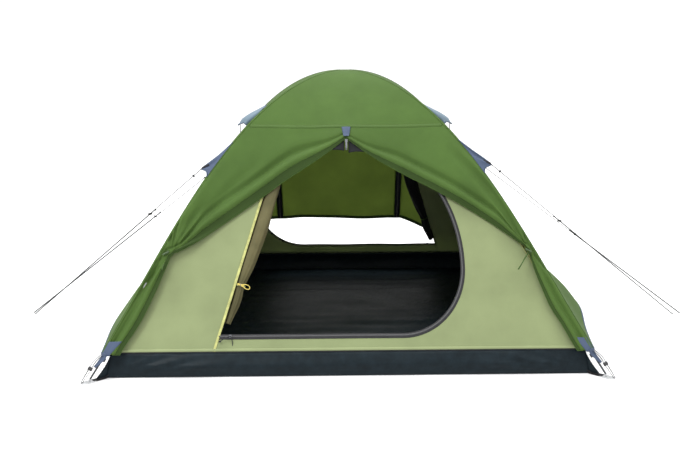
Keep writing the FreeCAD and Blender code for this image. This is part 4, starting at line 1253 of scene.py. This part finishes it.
def hood_plane(s, v, rise=0.0):
    """Point of the right hood: s from the hinge to the brim, v across it."""
    half = lerp(0.150, 0.095, smooth(0.0, 1.0, s) * 0.9 + 0.1 * s)
    length = lerp(0.118, 0.160, 1 - v ** 2)
    along = np.array((math.cos(HOOD_DROP), 0.0, -math.sin(HOOD_DROP)))
    normal = np.array((math.sin(HOOD_DROP), 0.0, math.cos(HOOD_DROP)))
    root = np.array((HOOD_HINGE[0], 0.0, HOOD_HINGE[1])) - normal * 0.001
    p = root + along * (s * length)[..., None] + np.array((0.0, 1.0, 0.0)) * (v * half)[..., None]
    return p + normal * rise[..., None]


def hoods():
    """Scooped rain hoods: a crowned top, cheeks down to the fly and a piped brim."""
    foot_z = 1.003
    for side, turn in (("right", 1), ("left", -1)):
        body = "vent_hood_" + side
        s = np.linspace(0, 1, 25)[:, None]
        v = np.linspace(-1, 1, 33)[None]
        s, v = np.broadcast_arrays(s, v)
        rise = 0.012 * (1 - v ** 2) * np.sin(math.pi * np.clip(s * 0.8, 0,
                                                               1)) + 0.0012 * np.sin(9 * v + 2) * s
        rise = rise - 0.010 * smooth(0.78, 1.0, s) * (1 - 0.4 * v ** 2)
        top = hood_plane(s, v, rise)
        edge_l, edge_r = top[:, 0], top[:, -1]
        cheeks = []
        for rim, way in ((edge_l, -1), (edge_r, 1)):
            z_low = np.interp(np.linspace(0, 1, len(rim)), (0, 1), (HOOD_HINGE[1] - 0.006, foot_z))
            y_low = rim[:, 1] + way * 0.012 * np.linspace(0, 1, len(rim))
            low = front_at(y_low, z_low, FLY, 0.0006, "right")
            q = np.linspace(0, 1, 12)[:, None, None]
            sheet = lerp(rim[None], low[None], q)
            bow = np.sin(math.pi * q[..., 0]) * 0.007 * np.linspace(0, 1, len(rim))[None]
            sheet = sheet + np.array((0.3, way, 0.1)) * bow[..., None]
            cheeks.append(sheet)
        patches = Patches()
        parts = [top] + cheeks
        for n, part in enumerate(parts):
            if turn < 0:
                part = part * (-1, -1, 1)
            run = np.linspace(0, 0.16, part.shape[0])[:, None]
            over = np.linspace(0, 0.25, part.shape[1])[None]
            patches.grid(part, joined(over + n, run), flip=n == 1)
        hood = patches.made("hood_" + side, trim_m, thick=0.0009, body=None)
        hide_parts(body)
        sign = np.array((turn, turn, 1.0))
        brim = even(np.vstack([cheeks[0][::-1, -1], top[-1, 1:-1], cheeks[1][:, -1]]) * sign, 90)
        piping = ribbon("hood_brim_" + side, brim, (turn, 0.0, 0.5), round_section(0.0026, 10), blue_tape_m,
                        body=None)
        start = front_at(0.0, 0.985, FLY, 0.002, "right") * sign
        for piece in (hood, piping):
            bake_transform(piece)
        z = np.full(40, HOOD_HINGE[1] + 0.001)
        x = np.linspace(-0.152, 0.152, 40)
        tape("hood_seam_" + side, side, np.stack([x, z], axis=1), (-0.008, -0.007, 0.0, 0.007, 0.008),
             (0.0002, 0.0014, 0.0020, 0.0014, 0.0002), patch_m, "trim_fabric", at=0.008)
    nets = Patches()
    for side in ("left", "right"):
        x = np.linspace(-0.107, 0.107, 40)[None]
        z = np.linspace(1.030, 0.950, 16)[:, None]
        x, z = np.broadcast_arrays(x, z)
        nets.grid(front_at(x, z, FLY, -0.0028, side), np.stack([x, z * 1.6], axis=-1))
    mesh = nets.made("vent_nets", net_m)
    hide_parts("vent_meshes")


# ---------------------------------------------------------------- rolled doors and ties

ROLL_STATIONS = ((0.98, 0.010), (0.80, 0.027), (0.55, 0.033), (0.345, 0.027), (0.245, 0.017), (0.17, 0.022),
                 (0.055, 0.012))
ROLL_TIE = 0.245
ROLL_INSIDE = 0.024


def roll_centre(fraction, inset):
    z = SILL_Z + (0.950 - SILL_Z) * fraction
    x = HINGE_X + HINGE_LEAN * (z - SILL_Z) + inset
    y = -INNER[1] * arch_t(z, INNER[2]) + ROLL_INSIDE
    return np.stack([x, y, z], axis=-1)


def door_roll(side, material):
    """The door cloth: a loose spiral whose last turn runs out to the hinge edge."""
    at, radii = zip(*ROLL_STATIONS[::-1])
    fraction = np.linspace(0.055, 0.98, 110)
    radius = np.interp(fraction, at, radii)
    radius = np.convolve(np.pad(radius, 4, mode="edge"), np.ones(9) / 9, mode="valid")
    centre = roll_centre(fraction, radius + 0.008)
    axis = unit(np.gradient(centre, axis=0))
    out = np.array((0.0, -1.0, 0.0))
    out = unit(out - axis * (axis @ out)[:, None])
    toward = np.cross(axis, out)
    toward = toward * np.sign(-toward[:, :1])
    turns = 6.0
    phi = np.linspace(0.6, turns * 2 * math.pi, 190)
    share = phi / phi[-1]
    grain = joined(3.0 * np.cos(phi)[None] + 0.2 * phi[None], 3.0 * np.sin(phi)[None],
                                         fraction[:, None] * 3.2)
    lump = 1 + 0.16 * ripple(grain, 1.5, 91) * (0.4 + 0.6 * share)[None]
    r = radius[:, None] * (0.10 + 0.88 * share ** 0.92)[None] * lump
    p = (centre[:, None] + toward[:, None] * (r * np.cos(phi))[..., None]
         + out[:, None] * (r * np.sin(phi) * 0.86)[..., None])
    z = SILL_Z + (0.950 - SILL_Z) * fraction
    hinge = front_at(HINGE_X + HINGE_LEAN * (z - SILL_Z) - 0.002, z, INNER, -0.0004)
    tail = lerp(p[:, -1][:, None], hinge[:, None], np.linspace(0, 1, 10)[1:][None, :, None])
    p = np.concatenate([p, tail], axis=1)
    p = turned(p, side)
    run = np.linspace(0, 0.95, len(fraction))[:, None]
    length = np.concatenate([[0], np.cumsum(np.linalg.norm(np.diff(p[55], axis=0), axis=1))])[None]
    patches = Patches()
    patches.grid(p, joined(length, run))
    roll = patches.made("door_roll_" + side, material, weld=0.00001)
    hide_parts(side + "_door_roll")
    # The doorway has 0.82 square metres, so the roll is short of cloth.
    tie_r = dict(ROLL_STATIONS)[ROLL_TIE]
    c = roll_centre(np.array(ROLL_TIE), tie_r + 0.008)
    a = unit(roll_centre(np.array(ROLL_TIE + 0.02),
                         tie_r + 0.008) - roll_centre(np.array(ROLL_TIE - 0.02), tie_r + 0.008))
    o = unit(np.array((0.0, -1.0, 0.0)) + a * a[1])
    s = np.cross(a, o)
    ang = np.linspace(0, 2 * math.pi, 49)
    ring = c + (np.cos(ang)[:, None] * s + np.sin(ang)[:, None] * o) * (tie_r + 0.0034)
    band = ribbon("door_tie_" + side, turned(ring, side), turned(a, side), flat_section(0.009, 0.0012),
                  binding_m if side == "front" else green_tape_m,
                  caps=False)
    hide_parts("tie_loops")
    bar = c + o * (tie_r + 0.0105)
    eye = turned(np.array([bar - o * 0.0068, bar - o * 0.001 + a * 0.0062, bar + o * 0.0070,
                           bar - o * 0.001 - a * 0.0062,
                           bar - o * 0.0068]), side)
    ribbon("door_tie_eye_" + side, spline(eye, 28), turned(s, side), round_section(0.0013, 8),
           light_cord_m if side == "front" else pull_m, side + "_door_toggle", caps=False)
    return o, bar


def hanging_loop(o, bar):
    """The yellow pull loop on the front door's toggle."""
    down = unit(np.array((1.0, -0.30, -0.34)))
    start = bar + o * 0.005
    wide = unit(np.array((0.34, 0.0, 1.0)))
    route = [start + wide * 0.001, start + down * 0.008 + wide * 0.003 + o * 0.004,
             start + down * 0.026 + wide * 0.010 + o * 0.004, start + down * 0.040 + wide * 0.008 + o * 0.002,
             start + down * 0.045 + o * 0.001, start + down * 0.040 - wide * 0.008 + o * 0.002,
             start + down * 0.026 - wide * 0.010 + o * 0.004, start + down * 0.008 - wide * 0.003 + o * 0.004,
             start - wide * 0.001]
    loop = nurbs("toggle_loop", route, 0.0016, yellow_m, "front_door_toggle")


def door_pulls():
    """Two short cords knotted through the slider at the left end of the sill."""
    low = np.array((-0.512, -0.90514, 0.16884))
    for name, points, reach in (
            ("a", ((0, 0, 0), (-0.008, -0.005, -0.001), (-0.026, -0.009, -0.008), (-0.044, -0.011, -0.020)),
             0.050),
            ("b", ((0.001, 0, 0), (0.005, -0.005, -0.008), (0.010, -0.009, -0.028), (0.009, -0.012, -0.046),
                   (-0.004, -0.014, -0.062)), 0.068)):
        route = [low + np.array(p) for p in points]
        cord = nurbs("pull_cord_" + name, route, 0.0018, pull_m, "front_door_pull")
        end = knot("pull_knot_" + name, route[-1], (0, 0, -1), 0.0017, pull_m, "front_door_pull")
        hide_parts("front_door_pull")


def flap_ties():
    for label, sign in (("left", -1), ("right", 1)):
        x, z = sign * 0.800, 0.503
        at = front_at(x, z, FLY, 0.0)
        normal = unit(np.array((0.0, -0.8839, 0.4677)))
        up = np.array((0.0, 0.4677, 0.8839))
        lie = unit(np.array((1.0, 0, 0)) * sign + up * 0.6)
        across = unit(np.cross(normal, lie))
        a = np.linspace(0, 2 * math.pi, 41)
        ring = at + normal * 0.0045 + np.cos(a)[:, None] * across * 0.0125 + np.sin(a)[:, None] * lie * 0.0080
        loop = ribbon("flap_tie_" + label, ring, normal, flat_section(0.0050, 0.0016, 0.0003), green_tape_m,
                      caps=False)
        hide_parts("tie_loops")
        knot("flap_knot_" + label, at + normal * 0.0048 - across * 0.013, lie, 0.0022, green_tape_m)
        drop = (-0.052, -0.070) if sign > 0 else (-0.012, -0.060)
        k = np.linspace(0, 1, 24)
        tail = front_at(x + drop[0] * k, z - 0.008 + drop[1] * k, FLY, 0.002 + 0.018 * smooth(0.40, 0.85, k))
        ribbon("flap_tie_tail_" + label, tail, (1.0, 0.0, 0.5), flat_section(0.0060, 0.0012), green_tape_m)


# ---------------------------------------------------------------- corners

def corners():
    for corner, (sx, sy) in CORNERS.items():
        out = unit(np.array((sx * FLOOR[0], sy * FLOOR[1], 0.0)))
        side_way = np.array((-out[1], out[0], 0.0))
        side, w = ("front", sx) if sy < 0 else ("rear", -sx)
        high = dome(side, np.array(float(w)), arch_t(np.array(HEM_Z + 0.003), FLY[2]), FLY, 0.002)
        low = out * (CORNER_R + 0.052 + 0.060 + 0.002) + np.array((0, 0, 0.0064))
        top = (out * (math.hypot(FLY[0], FLY[1]) * float(arch_t(HEM_Z, FLY[2])) + 0.006)
               + np.array((0, 0, HEM_Z + 0.003)))
        middle = (top + low) / 2
        s = side_way
        route = spline([high + s * 0.006 - out * 0.004, lerp(top, middle, 0.5) + s * 0.0085,
                        middle + s * 0.009,
                        lerp(middle, low,
                             0.6) + s * 0.0075, low + s * 0.0045, low + out * 0.003, low - s * 0.0045,
                        lerp(middle, low,
                             0.6) - s * 0.0075, middle - s * 0.009, lerp(top, middle, 0.5) - s * 0.0085,
                        high - s * 0.006 - out * 0.004], 90)
        elastic = ribbon("corner_elastic_" + corner, route, (0.1, 0.1, 1.0), round_section(0.0015, 8),
                         elastic_m)
        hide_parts("fly_corner_elastics")
        line = spline([high + out * 0.001 + s * 0.002 * sx, lerp(high, low, 0.5) + out * 0.010,
                       low + np.array((0, 0, 0.003))], 24)
        ribbon("corner_line_" + corner, line, s, round_section(0.0009, 8), light_cord_m)
        path = [out * r + np.array((0, 0, z)) for r, z in
                ((CORNER_R - 0.020, 0.0040), (CORNER_R + 0.004, 0.0012), (CORNER_R + 0.030, 0.0009),
                 (CORNER_R + 0.055, 0.0009), (CORNER_R + 0.0595, 0.0016), (CORNER_R + 0.0605, 0.0032),
                 (CORNER_R + 0.0595, 0.0048), (CORNER_R + 0.055, 0.0055), (CORNER_R + 0.030, 0.0056),
                 (CORNER_R + 0.004, 0.0070), (CORNER_R - 0.014, 0.016))]
        strap = ribbon("corner_strap_" + corner, spline(path, 70), s, flat_section(0.022, 0.0013), strap_m)
        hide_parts("corner_floor_straps")
        rows, cols = 14, 12
        z = np.linspace(HEM_Z - 0.006, HEM_Z + 0.050, rows)[:, None]
        u = np.linspace(0, 1, cols)[None]
        ridge_x = FLY[0] * arch_t(z, FLY[2])
        inner_x = ridge_x - np.interp(z, (HEM_Z, HEM_Z + 0.05), (0.044, 0.062))
        x = lerp(inner_x, ridge_x, u) * w
        z, x = np.broadcast_arrays(z, x)
        lift = 0.0045 + 0.006 * bump(0.15, 0.35, np.broadcast_to(u, x.shape)) * (1 if sy < 0 else 0.2)
        p = front_at(x, z, FLY, lift, side)
        patches = Patches()
        patches.grid(p, np.stack([x, z], axis=-1))
        patches.made("fly_corner_patch_" + corner, patch_m, thick=0.0012)
        gather = [lerp(p[0, 2], p[0, -1], k) for k in (0.1, 0.9)]
        base = (gather[0] + gather[1]) / 2
        tab = spline([base + np.array((0, 0, 0.014)), base + out * 0.004 - np.array((0, 0, 0.006)),
                      lerp(base, low, 0.42)], 16)
        width = np.linspace(0.046, 0.016, 16)
        section = np.stack([flat_section(b, 0.0022) for b in width])
        ribbon("fly_corner_tab_" + corner, tab, s, section, patch_m)
        foot = np.array((sx * FLOOR[0], sy * FLOOR[1], 0.0)) * 0.997
        head = np.array((sx * INNER[0], sy * INNER[1], 0.0)) * float(arch_t(TUB_Z, INNER[2])) * 0.997
        head[2] = TUB_Z - 0.004
        edge = lerp(foot + np.array((0, 0, 0.003)), head, np.linspace(0, 1, 10)[:, None])
        point = out * (CORNER_R + 0.044) + np.array((0, 0,
                                                     0.0085)) + np.linspace(-1, 1,
                                                                            10)[:, None] * (0, 0, 0.0015)
        q = np.linspace(0, 1, 12)
        gusset = lerp(edge[:, None], point[:, None], q[None, :, None])
        sag = np.sin(math.pi * q)[None, :, None] * np.linspace(0, 1, 10)[:, None, None]
        gusset = gusset + sag * (-0.004 * out + np.array((0, 0, -0.004)))
        patches = Patches()
        patches.grid(gusset, joined(q[None] * 0.08, np.linspace(0, 0.1, 10)[:, None]))
        patches.made("tub_gusset_" + corner, floor_m, thick=0.0012)


hem_tapes()
tub_tape()
zips()
wings()
hoods()
toggle_out, toggle_bar = door_roll("front", door_cloth_m)
door_roll("rear", net_cloth_m)
hanging_loop(toggle_out, toggle_bar)
door_pulls()
flap_ties()
corners()


for name, material in (
        ("inner_crown_patch", crown_m), ("inner_pole_clips", black_m), ("inner_apex_loop", black_m),
        ("pole_lower", rod_m), ("pole_upper", rod_m), ("pole_ferrules",
                                                       steel_m), ("corner_pole_pins", steel_m),
        ("pole_shock_cords", elastic_cad_m), ("corner_peg_plates", steel_m), ("fly_corner_adjusters",
                                                                              black_m),
        ("fly_zip_slider", enamel_m),
        ("fly_zip_pull_outer", enamel_m), ("fly_zip_pull_inner", enamel_m), ("front_door_slider", enamel_m),
        ("rear_door_slider", enamel_m), ("rear_fly_slider_left", enamel_m), ("rear_fly_slider_right",
                                                                             enamel_m),
        ("rear_door_toggle", black_m), ("flap_toggle_left", green_plastic_m), ("flap_toggle_right",
                                                                               green_plastic_m),
        ("vent_prop_left", black_m), ("vent_prop_right", black_m), ("front_door_toggle", yellow_plastic_m)):
    nodes[name].data.materials.clear()
    nodes[name].data.materials.append(material)
